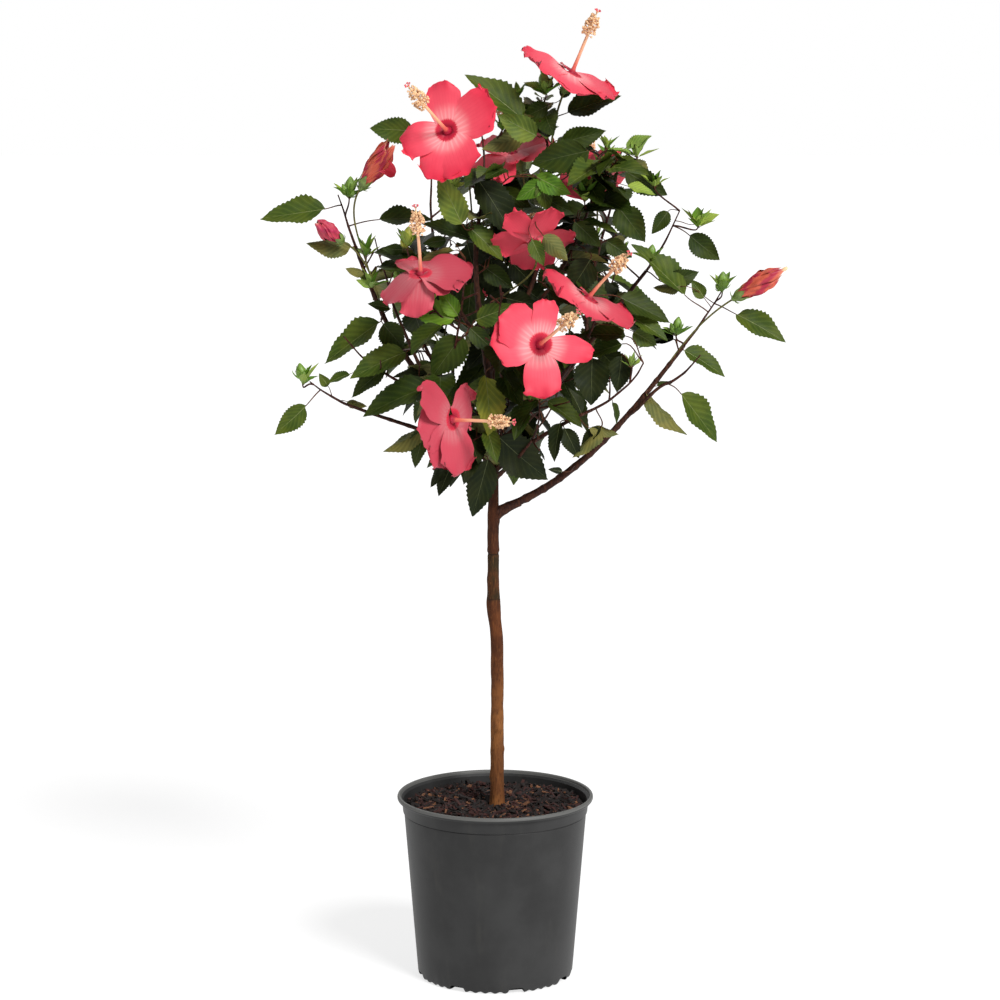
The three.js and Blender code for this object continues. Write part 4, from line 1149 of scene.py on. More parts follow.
def barkPaint():
    paint = Paint("bark", Specular_IOR_Level=0.2)
    height = paint.height()
    streak = paint.noise(1, 5, 0.7, paint.stretched(420, 420, 110))
    patch = paint.noise(26, 3)
    low = paint.fade(patch, 0.4, 0.62, "6c4122", "86552c")
    high = paint.fade(patch, 0.4, 0.62, "33180b", "472412")
    olive = paint.fade(patch, 0.4, 0.6, "302410", "522d15")
    middle = paint.fade(patch, 0.4, 0.6, "4c2712", "603419")
    color = paint.fade(height, 0.32, 0.44, low, middle)
    color = paint.fade(height, 0.494, 0.502, color, olive)
    color = paint.fade(height, 0.556, 0.561, color, high)
    color = paint.mix(paint.spread(streak, 0.5, 0.66) * 0.6, color, "221009")
    fibre = paint.noise(1, 3, 0.6, paint.stretched(1500, 1500, 70))
    color = paint.mix(paint.spread(fibre, 0.5, 0.7) * 0.35, color, "1c0d07")
    color = paint.mix(paint.spread(0.55 - fibre, 0.1, 0.25) * 0.3, color, "a8703e")
    for level, deep in ((0.5575, 0.85), (0.499, 0.6)):  # dark rings, one at a knuckle
        ragged = height + 0.006 * streak - 0.003
        under = paint.spread(ragged, level - 0.0016, level)
        over = paint.spread(0 - ragged, 0 - level - 0.0016, 0 - level)
        color = paint.mix(under * over * deep, color, "140a06")
    return paint.finish(color, 0.72 + 0.2 * patch, streak + 0.5 * fibre, 0.0009, 0.7)


def woodPaint(name, dark, pale, rough):
    paint = Paint(name, Specular_IOR_Level=0.2)
    streak = paint.noise(1, 3, 0.6, paint.stretched(300, 300, 120))
    color = paint.fade(streak, 0.38, 0.66, dark, pale)
    return paint.finish(color, rough + 0.1 * streak, streak, 0.0005, 0.4)


def plainPaint(name, tone, rough, scale=160, swing=0.22):
    paint = Paint(name)
    red, green, blue, _ = linear(tone)
    down = tuple(part * (1 - swing) for part in (red, green, blue)) + (1,)
    lift = tuple(min(1, part * (1 + swing)) for part in (red, green, blue)) + (1,)
    grain = paint.noise(scale, 2)
    return paint.finish(paint.fade(grain, 0.35, 0.65, down, lift), rough, grain, 0.0004, 0.3)


def petalPaint():
    paint = Paint("petal", Sheen_Weight=0.1, Specular_IOR_Level=0.3)
    reach = paint.value("reach")
    across = paint.value("across")
    dark = paint.value("dark")
    cloud = paint.noise(30, 3)
    vein = paint.sine((across + 0.1 * cloud) * 37)
    thread = paint.spread(vein, 0.4, 1.0)
    outer = paint.fade(reach + 0.5 * cloud, 0.85, 1.35, "f04c60", "de2a46")
    halo = paint.fade(reach + 0.2 * cloud, 0.4, 0.75, "f87680", outer)
    halo = paint.mix(thread * 0.1, halo, "d03048")
    pale = paint.sine((across + 0.08 * cloud) * 23 + 1.2)
    ray = 0.35 + 0.4 * paint.spread(pale, -0.2, 1.0)
    halo = paint.mix(ray * (1 - paint.spread(reach + 0.2 * cloud, 0.36, 0.68)), halo, "ffb4b4")
    # Painted shade: the petals of blooms in shade, and some petals at random, turn a darker pink.
    halo = paint.mix(dark * 0.8, halo, "a83a4a")
    ragged = reach + 0.02 * thread - 0.08 * cloud
    crimson = paint.fade(reach, 0.08, 0.24, "980c2c", "cc1c3a")
    color = paint.fade(ragged, 0.18, 0.23, crimson, halo)
    height = thread * (1 - reach) + 0.3 * cloud
    return paint.finish(color, 0.5 + 0.1 * cloud, height, 0.0006, 0.25)


def furlPaint():
    paint = Paint("spent petal")
    reach = paint.value("reach")
    around = paint.value("around")
    cloud = paint.noise(90, 3)
    wave = paint.sine(around * 5 + reach * 7 + 2 * cloud)
    color = paint.fade(wave, -0.2, 0.9, "ca5840", "a81f3a")
    color = paint.mix(paint.value("pink") * 0.75, color, "b42450")
    color = paint.fade(reach + 0.3 * cloud, 1.08, 1.25, color, "ecc09a")
    return paint.finish(color, 0.55, wave, 0.0006, 0.4)


def potPaint():
    paint = Paint("pot plastic", Specular_IOR_Level=0.25)
    height = paint.height()
    cloud = paint.noise(14, 4)
    grain = paint.noise(1200, 2)
    color = paint.fade(cloud, 0.3, 0.7, "262626", "323232")
    # The top of the lip turns lighter grey: a painted highlight, partly wear too.
    color = paint.fade(height, 0.2355, 0.2365, color, "5c5c5a")
    dust = paint.spread(paint.noise(1, 4, 0.6, paint.stretched(40, 40, 9)), 0.55, 0.75)
    color = paint.mix(dust * 0.1, color, "5b5850")
    return paint.finish(color, 0.42 + 0.12 * cloud, grain + 0.4 * cloud, 0.0003, 0.25)


trunkBark = barkPaint()
boughBark = woodPaint("bough bark", "2c1610", "4c2b1c", 0.62)
twigBark = woodPaint("twig bark", "2c120c", "4c2418", 0.5)
stalkGreen = woodPaint("stalk", "4c4a22", "6f6a36", 0.5)
petalLook = petalPaint()
furlLook = furlPaint()


# Pot, and the potting mix with its chips of bark.

potLook = {
    "sides": 320, "wallRows": 14, "arches": 8, "archTurn": 15.75,
    "toothWaves": 24, "toothHeight": 2.2, "toothBand": 5, "notch": 1.1, "notchBand": 12,
}
mix = {"top": 223, "rings": 34, "sides": 110, "chips": 1900}
chipTones = {"mix_chips_dark": "150b08", "mix_chips_red": "331510", "mix_chips_tan": "6b452c"}


def innerRadius(height):
    share = height / (pot["height"] - pot["lip"])
    return blend(pot["foot"], pot["rim"] - pot["overhang"], share) - pot["wall"]


def turnedPoints(profile, sides, shape=None):
    angles = circle(sides)
    rows = []
    for radius, height in profile:
        reach = radius if shape is None else shape(radius, height, angles)
        rows.append(ringPoints(reach, angles, height))
    return np.array(rows)


def potProfile():
    # Radius and height, from the middle of the foot up the outside, over the lip and down inside.
    underLip = pot["height"] - pot["lip"]
    bandFoot = underLip - pot["band"]
    ledge = pot["height"] - pot["ledge"]
    middle = pot["rim"] - pot["lipWidth"] / 2
    half = pot["lip"] / 2
    lip = [
        (middle + pot["lipWidth"] / 2 * math.cos(a), pot["height"] - half + half * math.sin(a))
        for a in map(radians, range(-60, 181, 20))
    ]
    wallHeights = np.linspace(5, bandFoot - 1.2, potLook["wallRows"])
    wallRows = [(innerRadius(height) + pot["wall"], height) for height in wallHeights]
    edge = innerRadius(bandFoot) + pot["wall"]
    return [
        (0.01, 0.6), (60, 0.6), (pot["foot"] - 8, 0.6), (pot["foot"] - 5, 0), (pot["foot"] - 3, 0),
        (pot["foot"] - 1, 0.9), (pot["foot"], 3), *wallRows,
        (edge - 0.5, bandFoot - 0.6), (edge - 0.4, bandFoot), (edge + pot["proud"] - 0.3, bandFoot + 0.5),
        (edge + pot["proud"], bandFoot + 1.4),
        (innerRadius(underLip) + pot["wall"] + pot["proud"], underLip - 0.6),
        (innerRadius(underLip) + pot["wall"] + pot["proud"] + 0.4, underLip),
        (pot["rim"] - 1.6, underLip + 0.1), *lip,
        (innerRadius(underLip) + pot["proud"], underLip),
        (innerRadius(ledge) + pot["proud"], ledge),
        (innerRadius(ledge) + pot["proud"] - pot["ledgeWidth"], ledge - 1),
        (innerRadius(190), 190), (innerRadius(pot["floor"]), pot["floor"]), (0.01, pot["floor"]),
    ]


def potShape(radius, height, angles):
    # A shallow notch in the foot between each two arches.
    if not 0.5 < height < potLook["notchBand"] or radius < pot["foot"] - 6:
        return radius
    half = potLook["arches"] / 2
    turn = radians(potLook["archTurn"]) + math.pi / potLook["arches"] - math.pi / 2
    between = np.abs(np.cos(half * (angles - turn)))
    return radius - potLook["notch"] * between ** 24 * (1 - height / potLook["notchBand"])


def archCutter(index):
    outline = [(-12, -1), (12, -1), (10, 4.5), (8.6, 6.4), (6, 7), (-6, 7), (-8.6, 6.4), (-10, 4.5)]
    turn = radians(-90 + 360 / potLook["arches"] * index + potLook["archTurn"])
    out = np.array([math.cos(turn), math.sin(turn), 0])
    side = np.array([-out[1], out[0], 0])
    near, far = ([out * depth + side * x + up * z for x, z in outline] for depth in (86, 108))
    count = len(outline)
    quads = [[i, (i + 1) % count, count + (i + 1) % count, count + i] for i in range(count)]
    ends = [list(range(count))[::-1], list(range(count, 2 * count))]
    return newObject("arch", newMesh("arch", [*near, *far], [*quads, *ends]))


def makePot():
    sides = potLook["sides"]
    rows = turnedPoints(potProfile(), sides, potShape)
    teeth = np.sin(potLook["toothWaves"] * circle(sides)) ** 2
    for row, (radius, height) in zip(rows, potProfile()):
        if height < potLook["toothBand"] and radius > pot["foot"] - 6:
            row[:, 2] += potLook["toothHeight"] * teeth * (1 - height / potLook["toothBand"])
    faces = gridFaces(len(rows), sides, True)[:, ::-1].tolist()
    whole = newObject("pot blank", newMesh("pot", rows.reshape(-1, 3), faces))
    cutters = [archCutter(index) for index in range(potLook["arches"])]
    for cutter in cutters:
        change = whole.modifiers.new("arch", "BOOLEAN")
        change.operation = "DIFFERENCE"
        change.solver = "EXACT"
        change.object = cutter
    view = bpy.context.evaluated_depsgraph_get()
    final = bpy.data.meshes.new_from_object(whole.evaluated_get(view))
    for spare in [whole, *cutters]:
        bpy.data.objects.remove(spare)
    final.materials.clear()
    shown("pot", final, potPaint(), ["pot"], sharp=32)


def makeMix():
    draw = seeded(77)
    sides = mix["sides"]
    edge = innerRadius(mix["top"]) - 2
    base = Piece("potting_mix")
    radii = [0.01, *np.linspace(5, edge, mix["rings"])]
    rows = turnedPoints([(radius, mix["top"]) for radius in radii], sides)
    lift = drawn(draw, -1.6, 2.2, len(radii), sides)
    rows[..., 2] += lift + 1.5 * (1 - smooth(np.array(radii), 20, 70))[:, None]
    base.add(rows, gridFaces(len(radii), sides, True))
    soil = plainPaint("potting mix", "180c09", 0.95, 240, 0.5)
    base.make(soil, "potting_mix", ["potting_mix"], flat=True)
    chips = [Piece(name) for name in chipTones]
    box = np.array([[x, y, z] for x in (-1, 1) for y in (-1, 1) for z in (-1, 1)], float) / 2
    faces = [[0, 1, 3, 2], [4, 6, 7, 5], [0, 4, 5, 1], [2, 3, 7, 6], [0, 2, 6, 4], [1, 5, 7, 3]]
    for _ in range(mix["chips"]):
        radius = (edge - 4) * math.sqrt(draw(0.008, 1))
        turn = draw(0, 2 * math.pi)
        size = np.array([draw(6, 24), draw(1.6, 5), draw(1, 3)]) * draw(0.55, 1.15)
        lean = unit([draw(-0.7, 0.7), draw(-0.7, 0.7), 1])
        spin = draw(0, 2 * math.pi)
        along = carried(np.array([math.cos(spin), math.sin(spin), 0]), lean)
        axes = np.array([along, np.cross(lean, along), lean])
        taper = 1 - 0.35 * (box[:, [0]] + 0.5) * draw(0, 1)
        place = [radius * math.cos(turn), radius * math.sin(turn), mix["top"] + 0.5 + draw(0, 3.4)]
        kind = 0 if draw(0, 1) < 0.55 else 1 if draw(0, 1) < 0.8 else 2
        chips[kind].add((box * size * taper) @ axes + place, faces)
    for piece in chips:
        chipPaint = plainPaint(piece.name.replace("_", " "), chipTones[piece.name], 0.9, 300, 0.3)
        piece.make(chipPaint, "potting_mix", ["potting_mix"], flat=True)


makePot()
makeMix()
print("pot made")


# Trunk and boughs with the relief of their bark.

relief = {
    "rows": 260, "sides": 44, "lumps": 11, "lumpHeight": 15, "grainHeight": 7.6,
    "knot": (330, 190), "ring": (558, 562),
    "scars": [(262, 80), (300, 250), (372, 20), (418, 205), (452, 330), (525, 120), (600, 280)],
}
elbow = {"foot": 599, "rise": 612, "meets": 34, "radii": [2.5, 6.2, 5.2]}


def swelling(distance, reach):
    return math.exp(-(distance / reach) ** 2)


def makeTrunkPiece():
    heights = np.linspace(trunk["foot"] - 4, trunk["top"], relief["rows"])
    sides = relief["sides"]
    lumps = relief["lumps"]
    draw = seeded(31)
    coarse = drawn(draw, -1, 1, 34, lumps)
    fine = drawn(draw, -1, 1, 66, sides)
    angles = circle(sides)
    place = np.arange(sides) * lumps / sides
    near = place.astype(int)
    bump = []
    for height in heights:
        ring = rowAt(coarse, (height - heights[0]) / relief["lumpHeight"])
        wide = ring[near] * (1 - place + near) + ring[(near + 1) % lumps] * (place - near)
        small = rowAt(fine, (height - heights[0]) / relief["grainHeight"])
        ridge = 0.6 * np.sin(angles * 7 + height / 40) * np.sin(height / 23 + angles)
        level, turn = relief["knot"]
        knot = 2.6 * swelling(height - level, 6) * np.maximum(0, np.cos(angles - radians(turn))) ** 6
        scar = 0
        for level, turn in relief["scars"]:
            facing = np.maximum(0, np.cos(angles - radians(turn))) ** 8
            scar = scar + 1.3 * swelling(height - level, 4) * facing
        groove, rim = relief["ring"]
        crack = -0.9 * swelling(height - groove, 1.6) + 0.5 * swelling(height - rim, 3)
        lift = 0.42 * wide + 0.22 * small + 0.3 * ridge + knot + scar + crack
        bump.append(1 + lift / trunkRadius(max(height, trunk["foot"])))
    path = np.array([trunkPoint(height) for height in heights])
    radii = [trunkRadius(max(height, trunk["foot"])) for height in heights]
    piece = Piece("trunk_bark")
    addTube(piece, path, radii, sides, bump)
    piece.make(trunkBark, "bark", ["trunk"])


def makeBoughs():
    # Boughs with leaf scars, and the elbow under the low right one.
    draw = seeded(32)
    sides = 12
    piece = Piece("bough_bark")
    for name in boughs:
        limb = limbs[name]
        curve = limb["curve"]
        count = max(12, round(norm(np.diff(curve, axis=0), axis=1).sum() / 5))
        t = np.linspace(0, len(curve) - 1, count)
        k = np.minimum(t.astype(int), len(curve) - 2)
        path = curve[k] + (curve[k + 1] - curve[k]) * (t - k)[:, None]
        widths = np.interp(t, np.arange(len(curve)), limb["widths"])
        bump = 1 + 0.05 * drawn(draw, -1, 1, count, sides)
        bump[4:count - 3:5] += 0.16
        addTube(piece, path, widths, sides, bump)
    curve = limbs["right_low"]["curve"]
    reach = norm(curve - curve[0], axis=1)
    meet = curve[np.argmax(reach > elbow["meets"])] - up * 1.5
    foot = trunkPoint(elbow["foot"]) + right * 4
    rise = trunkPoint(elbow["rise"]) + right * 7
    path = bezier(foot, rise, blend(curve[0], meet, 0.5), meet, steps(8))
    addTube(piece, path, np.interp(np.arange(9), [0, 4, 8], elbow["radii"]), sides)
    piece.make(boughBark, "bark", boughNodes)


def makeTwigs():
    piece = Piece("twigs")
    for twig in twigs:
        path = np.array(twig["path"])
        radii = np.array(twig["radii"], float)
        t = np.linspace(0, len(path) - 1, max(5, len(path) * 3))
        smoothPath = np.stack([np.interp(t, np.arange(len(path)), path[:, i]) for i in range(3)], axis=1)
        smoothPath[1:-1] = (smoothPath[:-2] + 2 * smoothPath[1:-1] + smoothPath[2:]) / 4
        widths = np.interp(t, np.arange(len(path)), radii)
        widths = widths * (1 + 0.12 * (np.abs(t - np.round(t)) < 0.1))
        addTube(piece, smoothPath, widths, 7)
    piece.make(twigBark, "bark_young", foliageNodes)
    stems = Piece("petioles")
    for path, width in petioles:
        addTube(stems, path, np.linspace(width * 1.35, width * 0.9, len(path)), 5)
    stems.make(woodPaint("petiole", "421f14", "623a20", 0.45), "bark_young", foliageNodes)


makeTrunkPiece()
makeBoughs()
makeTwigs()
print("wood made")


# Leaves: one toothed, folded, rippled blade each, all of a colour in one piece.

leafGrid = (27, 7)  # points along and across a blade
ribGrid = (12, 3)
# Midribs of deep and dark leaves are darker, to follow the painted shade of those leaves.
ribTones = {"dark": "4a5228", "light": "747c44"}


def bladePoints(group, s, t):
    # Every blade of the group at the same places, s along it and t across.
    columns = [np.array(column, float)[:, None, None] for column in zip(*group)]
    joint, blade, normal, across, length, half, curl, fold, seed = columns
    wave = 6.28 * ((seed * 0.618) % 1)
    bend = 0.07 * np.sin(seed * 2.4)
    width = np.maximum(np.sin(math.pi * np.clip(s, 0, 1) ** 0.68), 0.0) ** 0.84
    tooth = 1 + 0.06 * np.where(np.arange(len(s)) % 2 == 1, 1, -1)[:, None] * (np.abs(t) > 0.9) * (s > 0.12)
    width = np.maximum(width * tooth, 0.025)
    veins = 0.05 * np.cos(2 * math.pi * (5 * (s - 0.3 * np.abs(t)) + 0.1)) * np.abs(t) * (1.2 - np.abs(t))
    ripple = 0.13 * np.sin(2 * math.pi * 1.7 * s + wave) * t ** 2 * np.sign(t + 1e-6 + np.sin(wave))
    rise = fold * np.abs(t) ** 1.2 * width + veins * width + ripple * width
    along = s + 0.012 * np.abs(t) + 0.03 * t * np.sin(wave)
    sag = curl * along ** 2
    aside = half * width * t + bend * length * s * s
    flat = joint + blade * (length * along)[..., None] + across * aside[..., None]
    return flat + normal * (half * rise - sag * length)[..., None]


def makeLeaves():
    s, t = np.meshgrid(np.linspace(0, 1, leafGrid[0]), np.linspace(-1, 1, leafGrid[1]), indexing="ij")
    ribAlong, ribAcross = np.meshgrid(np.linspace(0, 0.94, ribGrid[0]), [-1.0, 0, 1], indexing="ij")
    ribWidth = (0.5 * (1.08 - ribAlong))[..., None]
    ribLift = 0.35
    ribs = {tone: Piece(f"midribs_{tone}") for tone in ribTones}
    for shade, group in leaves.items():
        if not group:
            continue
        piece = Piece(f"leaves_{shade}")
        for points in bladePoints(group, s, t):
            piece.add(points, gridFaces(*leafGrid), vein=(s - 0.34 * np.abs(t)).ravel())
        piece.make(leafPaint(shade), "leaves", foliageNodes)
        rib = ribs["dark" if shade in ("deep", "dark") else "light"]
        lifted = [(leaf[0] + leaf[2] * ribLift, *leaf[1:]) for leaf in group]
        middles = bladePoints(lifted, ribAlong, ribAcross * 0.001)
        for leaf, middle in zip(group, middles):
            normal, across = leaf[2], leaf[3]
            strip = middle + across * ribAcross[..., None] * ribWidth
            rib.add(strip - normal * ribLift * np.abs(ribAcross)[..., None], gridFaces(*ribGrid))
    for tone, rib in ribs.items():
        rib.make(plainPaint(f"{tone} midrib", ribTones[tone], 0.5), "leaves", foliageNodes)


budForm = {
    "along": (0, 0.2, 0.34, 0.46, 0.6, 0.74, 0.88, 0.96, 1), "sides": 15, "crease": 0.14,
    "radii": np.array([0.14, 0.14, 0.5, 0.85, 1, 0.85, 0.5, 0.25, 0.05]),
    "bracts": 8, "bractRadii": np.array([0.16, 0.16, 0.14, 0.1, 0.03]),
}
budKinds = {"buds": ("buds", "bud", "6f9038"), "yellow": ("buds_yellow", "yellow bud", "a3a53a")}


def makeBuds():
    # Each bud has three creases and a ring of narrow bracts.
    bodies = {kind: Piece(name) for kind, (name, _, _) in budKinds.items()}
    for place, heading, length, girth, seed, kind in buds:
        path = np.array([place + heading * length * t for t in budForm["along"]])
        draw = seeded(int(seed * 7) + 3)
        crease = budForm["crease"] * np.cos(np.arange(budForm["sides"]) * 2 * math.pi / 3)
        creases = [1 + crease * t for t in budForm["along"]]
        addTube(bodies[kind], path, budForm["radii"] * girth, budForm["sides"], creases)
        side = sideOf(heading)
        base = place + heading * length * 0.3
        for i in range(budForm["bracts"]):
            out = outwardAt(heading, side, 360 / budForm["bracts"] * i + seed)
            tip = base + heading * length * draw(0.3, 0.5) + out * girth * draw(1.2, 1.7)
            spike = bezier(base, base + out * girth, tip - heading * 3, tip, steps(4))
            addTube(bodies[kind], spike, budForm["bractRadii"] * girth, 4)
    for kind, (_, title, tone) in budKinds.items():
        bodies[kind].make(plainPaint(title, tone, 0.45), "leaves", foliageNodes)


makeLeaves()
makeBuds()
print("leaf pieces made:", {shade: len(group) for shade, group in leaves.items()})


# Blooms: five ruffled petals, a column with its brush of anthers and five pads, a green calyx.

petalGrid = (34, 27)  # points along and across a petal


def ruffledPetal(turn, flare, roll, width, length, fall, seed):
    draw = seeded(seed)
    along = np.linspace(0.02, 1, petalGrid[0])
    across = np.linspace(-1, 1, petalGrid[1])
    scallop = 0.024 * np.sin(across * 8 + draw(0, 6)) + 0.012 * np.sin(across * 21 + draw(0, 6))
    tooth = drawn(draw, -0.012, 0.012, petalGrid[1])
    reach = (1 - fall * np.abs(across) ** 2 + scallop + tooth)[None, :]
    u = along[:, None] * reach
    v = np.broadcast_to(across, u.shape)
    usual = np.sin(math.pi * (0.08 + 0.62 * u)) * np.where(u < 0.8, 1, 0.9) * petal["halfWidth"]
    wide = 30 * width * (0.5 + 0.5 * smooth(u, 0, 0.5)) * (1 - 0.12 * smooth(u, 0.85, 1))
    frill = 1 + 0.05 * np.sin(u * 17 + draw(0, 6)) * np.abs(v) * smooth(u, 0.4, 0.8)
    phase = draw(0, 6)
    ruffle = 3 * u ** 3 * np.sin(3.6 * v + phase) + 1.2 * u ** 6 * np.sin(11 * v + 2 * phase)
    margin = 1.8 * np.abs(v) ** 3 * np.sin(10 * u + phase) * smooth(u, 0.3, 0.7)
    cup = -3 * np.abs(v) ** 2 * u + roll * v * wide * smooth(u, 0.05, 0.4)
    lift = ruffle + margin + cup + 2.5 * draw(-1, 1) * u ** 2 - 8 * np.maximum(0, u - 0.75) ** 1.5
    points = petalFace(u, v * wide * frill / usual, 0, turn, [flare], lift) * length
    points[..., 2] *= 0.45 + 0.55 * smooth(u, 0.05, 0.5)
    return points, v


def makeBloom(name, seed):
    _, _, eye, face, turn, flares = blooms[name]
    look = bloomLooks.get(name, {})
    axes = bloomAxes(look.get("face", face))
    turns = look.get("turns", [turn + 72 * index for index in range(5)])
    spread = look.get("flares", flares)
    widths = look.get("widths", [1] * 5)
    lengths = look.get("lengths", [1] * 5)
    tips = look.get("tips", [0.13] * 5)
    rolls = look.get("rolls", [0] * 5)
    middle = np.array(eye, float) + look.get("move", [0, 0, 0])
    draw = seeded(seed * 19 + 2)
    petals = Piece(f"petals_{name}")
    for index in range(5):
        form = (turns[index], spread[index], rolls[index], widths[index], lengths[index], tips[index])
        points, v = ruffledPetal(*form, seed * 17 + index)
        reach = np.hypot(points[..., 0], points[..., 1]) / 60
        if look.get("rear"):
            reach = 0.4 + 0.6 * reach
        # How dark the petal is painted: the bloom's painted shade and a tone of its own at random.
        tone = min(1, look.get("dark", 0) + draw(0, 0.3))
        petals.add(
            points.reshape(-1, 3) @ axes.T + middle, gridFaces(*petalGrid),
            reach=reach.ravel(), across=v.ravel() + 3 * index, dark=tone,
        )
    petals.make(petalLook, "petals", [f"bloom_{name}"])


bloomParts = ("columns", "filaments", "anthers", "stigmas", "calyxes")
columnParts = {part: Piece(f"bloom_{part}") for part in bloomParts}
column = {"rows": 24, "sides": 12, "stamens": 120, "brush": (0.62, 0.95), "stigmas": 5}


def addColumn(name, seed):
    # The tube, its brush of stamens and the stigmas at its end.
    _, _, eye, face, _, _ = blooms[name]
    look = bloomLooks.get(name, {})
    draw = seeded(seed * 31 + 5)
    eye = np.array(eye, float) + look.get("move", [0, 0, 0])
    heading = unit(face)
    tip = eye + np.array(look.get("column", heading * (columnLength - 6)), float)
    share = np.linspace(0, 1, column["rows"])
    path = bezier(eye - heading * 9, eye + heading * 14, blend(eye, tip, 0.66) + heading * 5, tip, share)
    widths = np.interp(share, [0, 0.05, 0.1, 0.3, 0.7, 1], [6.5, 4.5, 2.5, 2.1, 1.9, 1.2])
    addTube(columnParts["columns"], path, widths, column["sides"], reach=share)
    end = unit(path[-1] - path[-2])
    for i in range(column["stamens"]):
        t = (i + draw(0, 1)) / column["stamens"]
        foot = rowAt(path, (column["rows"] - 1) * blend(*column["brush"], t))
        out = outwardAt(end, sideOf(end), draw(0, 360))
        far = 4 + 5 * math.sin(math.pi * min(1, t + 0.15)) * draw(0.3, 1)
        bud = foot + out * far + end * draw(-0.5, 3)
        thread = [foot, blend(foot, bud, 0.5) - end * 0.3, bud]
        addTube(columnParts["filaments"], thread, [0.34, 0.3, 0.26], 4)
        bead = [bud + out * s for s in (-0.3, 0.6, 1.7, 2.4)]
        addTube(columnParts["anthers"], bead, [0.5, 1.5, 1.45, 0.5], 6)
    top = path[-1]
    for i in range(column["stigmas"]):
        out = outwardAt(end, sideOf(end), 72 * i + 20)
        pad = top + end * 6 + out * 3.2
        branch = bezier(top, top + end * 3, pad - out, pad, steps(4))
        addTube(columnParts["filaments"], branch, [0.6, 0.55, 0.5, 0.5, 0.5], 5)
        disc = [pad + end * s for s in (-0.4, 0.3, 0.9, 1.3)]
        addTube(columnParts["stigmas"], disc, [0.6, 1.45, 1.5, 0.7], 8)


calyx = {"grid": (9, 7), "width": 0.62, "taper": 0.45, "bracts": 7, "reach": (8, 11), "rise": (2, 8)}


def addCalyx(base, heading, axes, turn, depth, seed):
    # A cup of five pointed sepals, and a ring of narrow bracts below it.
    draw = seeded(seed * 13 + 3)
    s = np.linspace(0, 1, calyx["grid"][0])[:, None]
    t = np.linspace(-1, 1, calyx["grid"][1])[None, :]
    for i in range(5):
        spin = radians(72 * i + turn + 36)
        width = calyx["width"] * np.where(s < 0.55, 1, np.maximum(0.02, (1 - s) / calyx["taper"])) * t
        radius = 2.4 + 5.4 * smooth(s, 0, 0.5) + 1.6 * s ** 3 + 0.25 * (1 - t * t)
        points = ringPoints(radius, spin + width, depth * (s - 0.1))
        columnParts["calyxes"].add(points.reshape(-1, 3) @ axes.T + base, gridFaces(*calyx["grid"]))
    side = sideOf(heading)
    for i in range(calyx["bracts"]):
        out = outwardAt(heading, side, 360 * i / calyx["bracts"] + draw(0, 20))
        tip = base + out * draw(*calyx["reach"]) + heading * draw(*calyx["rise"])
        spike = bezier(base, base + out * 4 - heading, tip - heading * 2, tip, steps(5))
        addTube(columnParts["calyxes"], spike, [0.8, 0.75, 0.65, 0.5, 0.3, 0.1], 4)


# A furl's own way to point, its size along each of its axes, how pink it is, and a column that shows.
spentLooks = {
    "left_side": {"face": [-0.78, -0.15, 0.6], "size": [0.85, 0.85, 0.58], "pink": 1},
    "right_low": {"column": True},
}
furl = {"foot": 4, "length": 66, "grid": (34, 13), "petals": 6}


def makeSpentBloom(name, seed):
    _, _, base, face = spentBlooms[name]
    look = spentLooks.get(name, {})
    draw = seeded(seed * 7 + 1)
    axes = bloomAxes(look.get("face", face)) * look.get("size", [1, 1, 1])
    base = np.array(base, float)
    piece = Piece(f"spent_petals_{name}")
    foot, length = furl["foot"], furl["length"]
    share = (np.linspace(foot, foot + length, furl["grid"][0]) - foot) / length
    around = np.linspace(-1, 1, furl["grid"][1])
    for i in range(furl["petals"]):
        # Each petal is rolled about the middle, with a twist and a ragged end of its own.
        long = draw(0.8, 1)
        girth = np.interp(share, [0, 0.15, 0.5, 0.8, 1], [5, 8, 12.5, 11, draw(3.5, 8)]) * draw(0.88, 1.06)
        turn = radians(60 * i) + share[:, None] * 1.3 + around[None, :] * 0.75
        curl = 1 + 0.22 * around[None, :] * share[:, None] + 0.1 * np.sin(9 * around + draw(0, 6))[None, :]
        wave = 1 + 0.07 * np.sin(share[:, None] * 14 + 5 * around[None, :] + draw(0, 6))
        radius = girth[:, None] * curl * wave
        ragged = long * (1 - 0.1 * np.abs(around) ** 2 + 0.025 * np.sin(8 * around + draw(0, 6)))
        height = foot + length * share[:, None] * ragged[None, :]
        points = ringPoints(radius, turn, height)
        piece.add(
            points.reshape(-1, 3) @ axes.T + base, gridFaces(*furl["grid"]),
            reach=np.repeat(share, len(around)), around=(turn * 0.8 + i).ravel(), pink=look.get("pink", 0),
        )
    piece.make(furlLook, "petals", [f"spent_bloom_{name}"])
    addCalyx(base + unit(face) * -3, unit(face), axes, 0, 22, seed)
    if look.get("column"):
        end = [base + unit(face) * reach for reach in (58, 68, 73, 76)]
        addTube(columnParts["columns"], end, [2, 2, 2.6, 1.6], 8, reach=np.linspace(0.6, 1, 4))


flap = {"root": [-147, -47, 1068], "reach": [23, -5, -17], "halfWidth": 9.5, "slant": 0.35, "droop": 3}


def makeFlap():
    # The one petal that the upper spent bloom on the left has not rolled up.
    grid = (12, 11)
    s = np.linspace(0, 1, grid[0])[:, None]
    t = np.linspace(-1, 1, grid[1])[None, :]
    width = flap["halfWidth"] * np.sqrt(np.maximum(0.06, 1 - (1.7 * s - 0.75) ** 2))
    width = width * (1 + 0.08 * np.sin(9 * s))
    x, y, z = (start + along * s for start, along in zip(flap["root"], flap["reach"]))
    x = x + flap["slant"] * width * t
    y = y + flap["droop"] * np.sin(2.2 * t + 2 * s) - flap["droop"] * t ** 2
    points = np.stack([x, y, z + width * t], axis=-1)
    piece = Piece("spent_flap")
    piece.add(points, gridFaces(*grid), reach=0.8, across=np.tile(t.ravel(), grid[0]), dark=0)
    piece.make(petalLook, "petals", ["spent_bloom_left_high"])


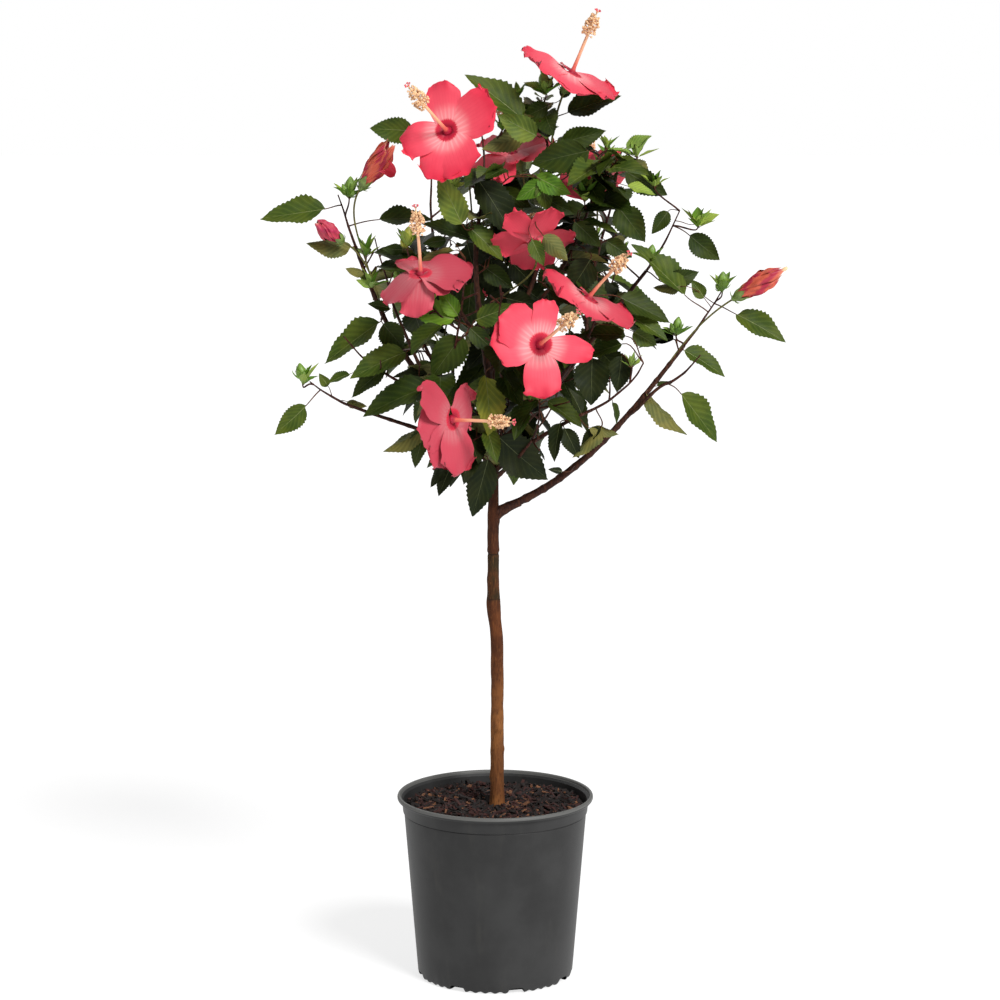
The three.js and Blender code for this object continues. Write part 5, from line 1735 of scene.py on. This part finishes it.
for seed, name in enumerate(blooms):
    makeBloom(name, seed + 1)
    addColumn(name, seed + 1)
    spec = blooms[name]
    heading = unit(spec[3])
    addCalyx(np.array(spec[2]) - heading * calyxDrop, heading, bloomAxes(spec[3]), spec[4], 26, seed)
for seed, name in enumerate(spentBlooms):
    makeSpentBloom(name, seed + 40)
makeFlap()
stalks = Piece("flower_stalks")
for name, limb in limbs.items():
    if name.startswith("stalk"):
        addTube(stalks, limb["curve"], limb["widths"] * 0.62, 8)
stalks.make(stalkGreen, "bark_young", flowerNodes)


def columnPaint():
    paint = Paint("column")
    reach = paint.value("reach")
    color = paint.fade(reach, 0.06, 0.12, "a81434", "e2665a")
    color = paint.fade(reach, 0.1, 0.4, color, "f6b48c")
    color = paint.fade(reach, 0.4, 0.8, color, "f8d2a2")
    return paint.finish(color, 0.45, paint.noise(400, 2), 0.0003, 0.3)


columnParts["columns"].make(columnPaint(), "petals", flowerNodes)
columnParts["filaments"].make(plainPaint("filament", "f6c49c", 0.5), "petals", flowerNodes)
columnParts["anthers"].make(plainPaint("anther", "eec094", 0.75), "petals", flowerNodes)
columnParts["stigmas"].make(plainPaint("stigma", "e25a66", 0.6), "petals", flowerNodes)
columnParts["calyxes"].make(plainPaint("calyx", "6d8340", 0.5), "leaves", flowerNodes)
print("blooms made")


# Stage, light and camera.

stage = {"glow": 0.72, "tone": 0.34, "skyLight": 0.28, "skySeen": 1.0, "lens": 143, "pitch": 10.49}
suns = {  # strength, spread and how it is turned, in degrees
    "key": (3.3, 20, (50, 0, 34)),
    "back": (0.8, 60, (50, 0, 200)),
}


def makeFloor():
    corners = [(-9000, -7000, 0), (9000, -7000, 0), (9000, 11000, 0), (-9000, 11000, 0)]
    mesh = newMesh("floor", corners, [(0, 1, 2, 3)])
    paint = Paint("floor", Emission_Color=(1, 1, 1, 1), Emission_Strength=stage["glow"])
    mesh.materials.append(paint.finish((stage["tone"], stage["tone"], stage["tone"], 1), 1.0))
    floor = newObject("floor", mesh)


def makeSky():
    # White to the camera and dimmer as a light.
    world = bpy.data.worlds.new("white")
    world.use_nodes = True
    tree = world.node_tree
    seen = tree.nodes.new("ShaderNodeLightPath")
    level = tree.nodes.new("ShaderNodeMapRange")
    level.inputs["To Min"].default_value = stage["skyLight"]
    level.inputs["To Max"].default_value = stage["skySeen"]
    tree.links.new(seen.outputs["Is Camera Ray"], level.inputs["Value"])
    tree.links.new(level.outputs["Result"], tree.nodes["Background"].inputs["Strength"])
    tree.nodes["Background"].inputs["Color"].default_value = (1, 1, 1, 1)
    bpy.context.scene.world = world


def makeSun(name):
    energy, angle, turn = suns[name]
    lamp = bpy.data.lights.new(name, "SUN")
    lamp.energy = energy
    lamp.angle = radians(angle)
    newObject(name, lamp).rotation_euler = [radians(part) for part in turn]


def makeCamera():
    lens = bpy.data.cameras.new("camera")
    lens.lens = stage["lens"]
    lens.sensor_width = 36
    lens.clip_end = 60
    camera = newObject("camera", lens)
    camera.location = viewpoint * metres
    camera.rotation_euler = (radians(90 - stage["pitch"]), 0, 0)
    bpy.context.scene.camera = camera
    bpy.context.scene.view_settings.view_transform = "Standard"


makeFloor()
makeSky()
for name in suns:
    makeSun(name)
makeCamera()
print("scene made")
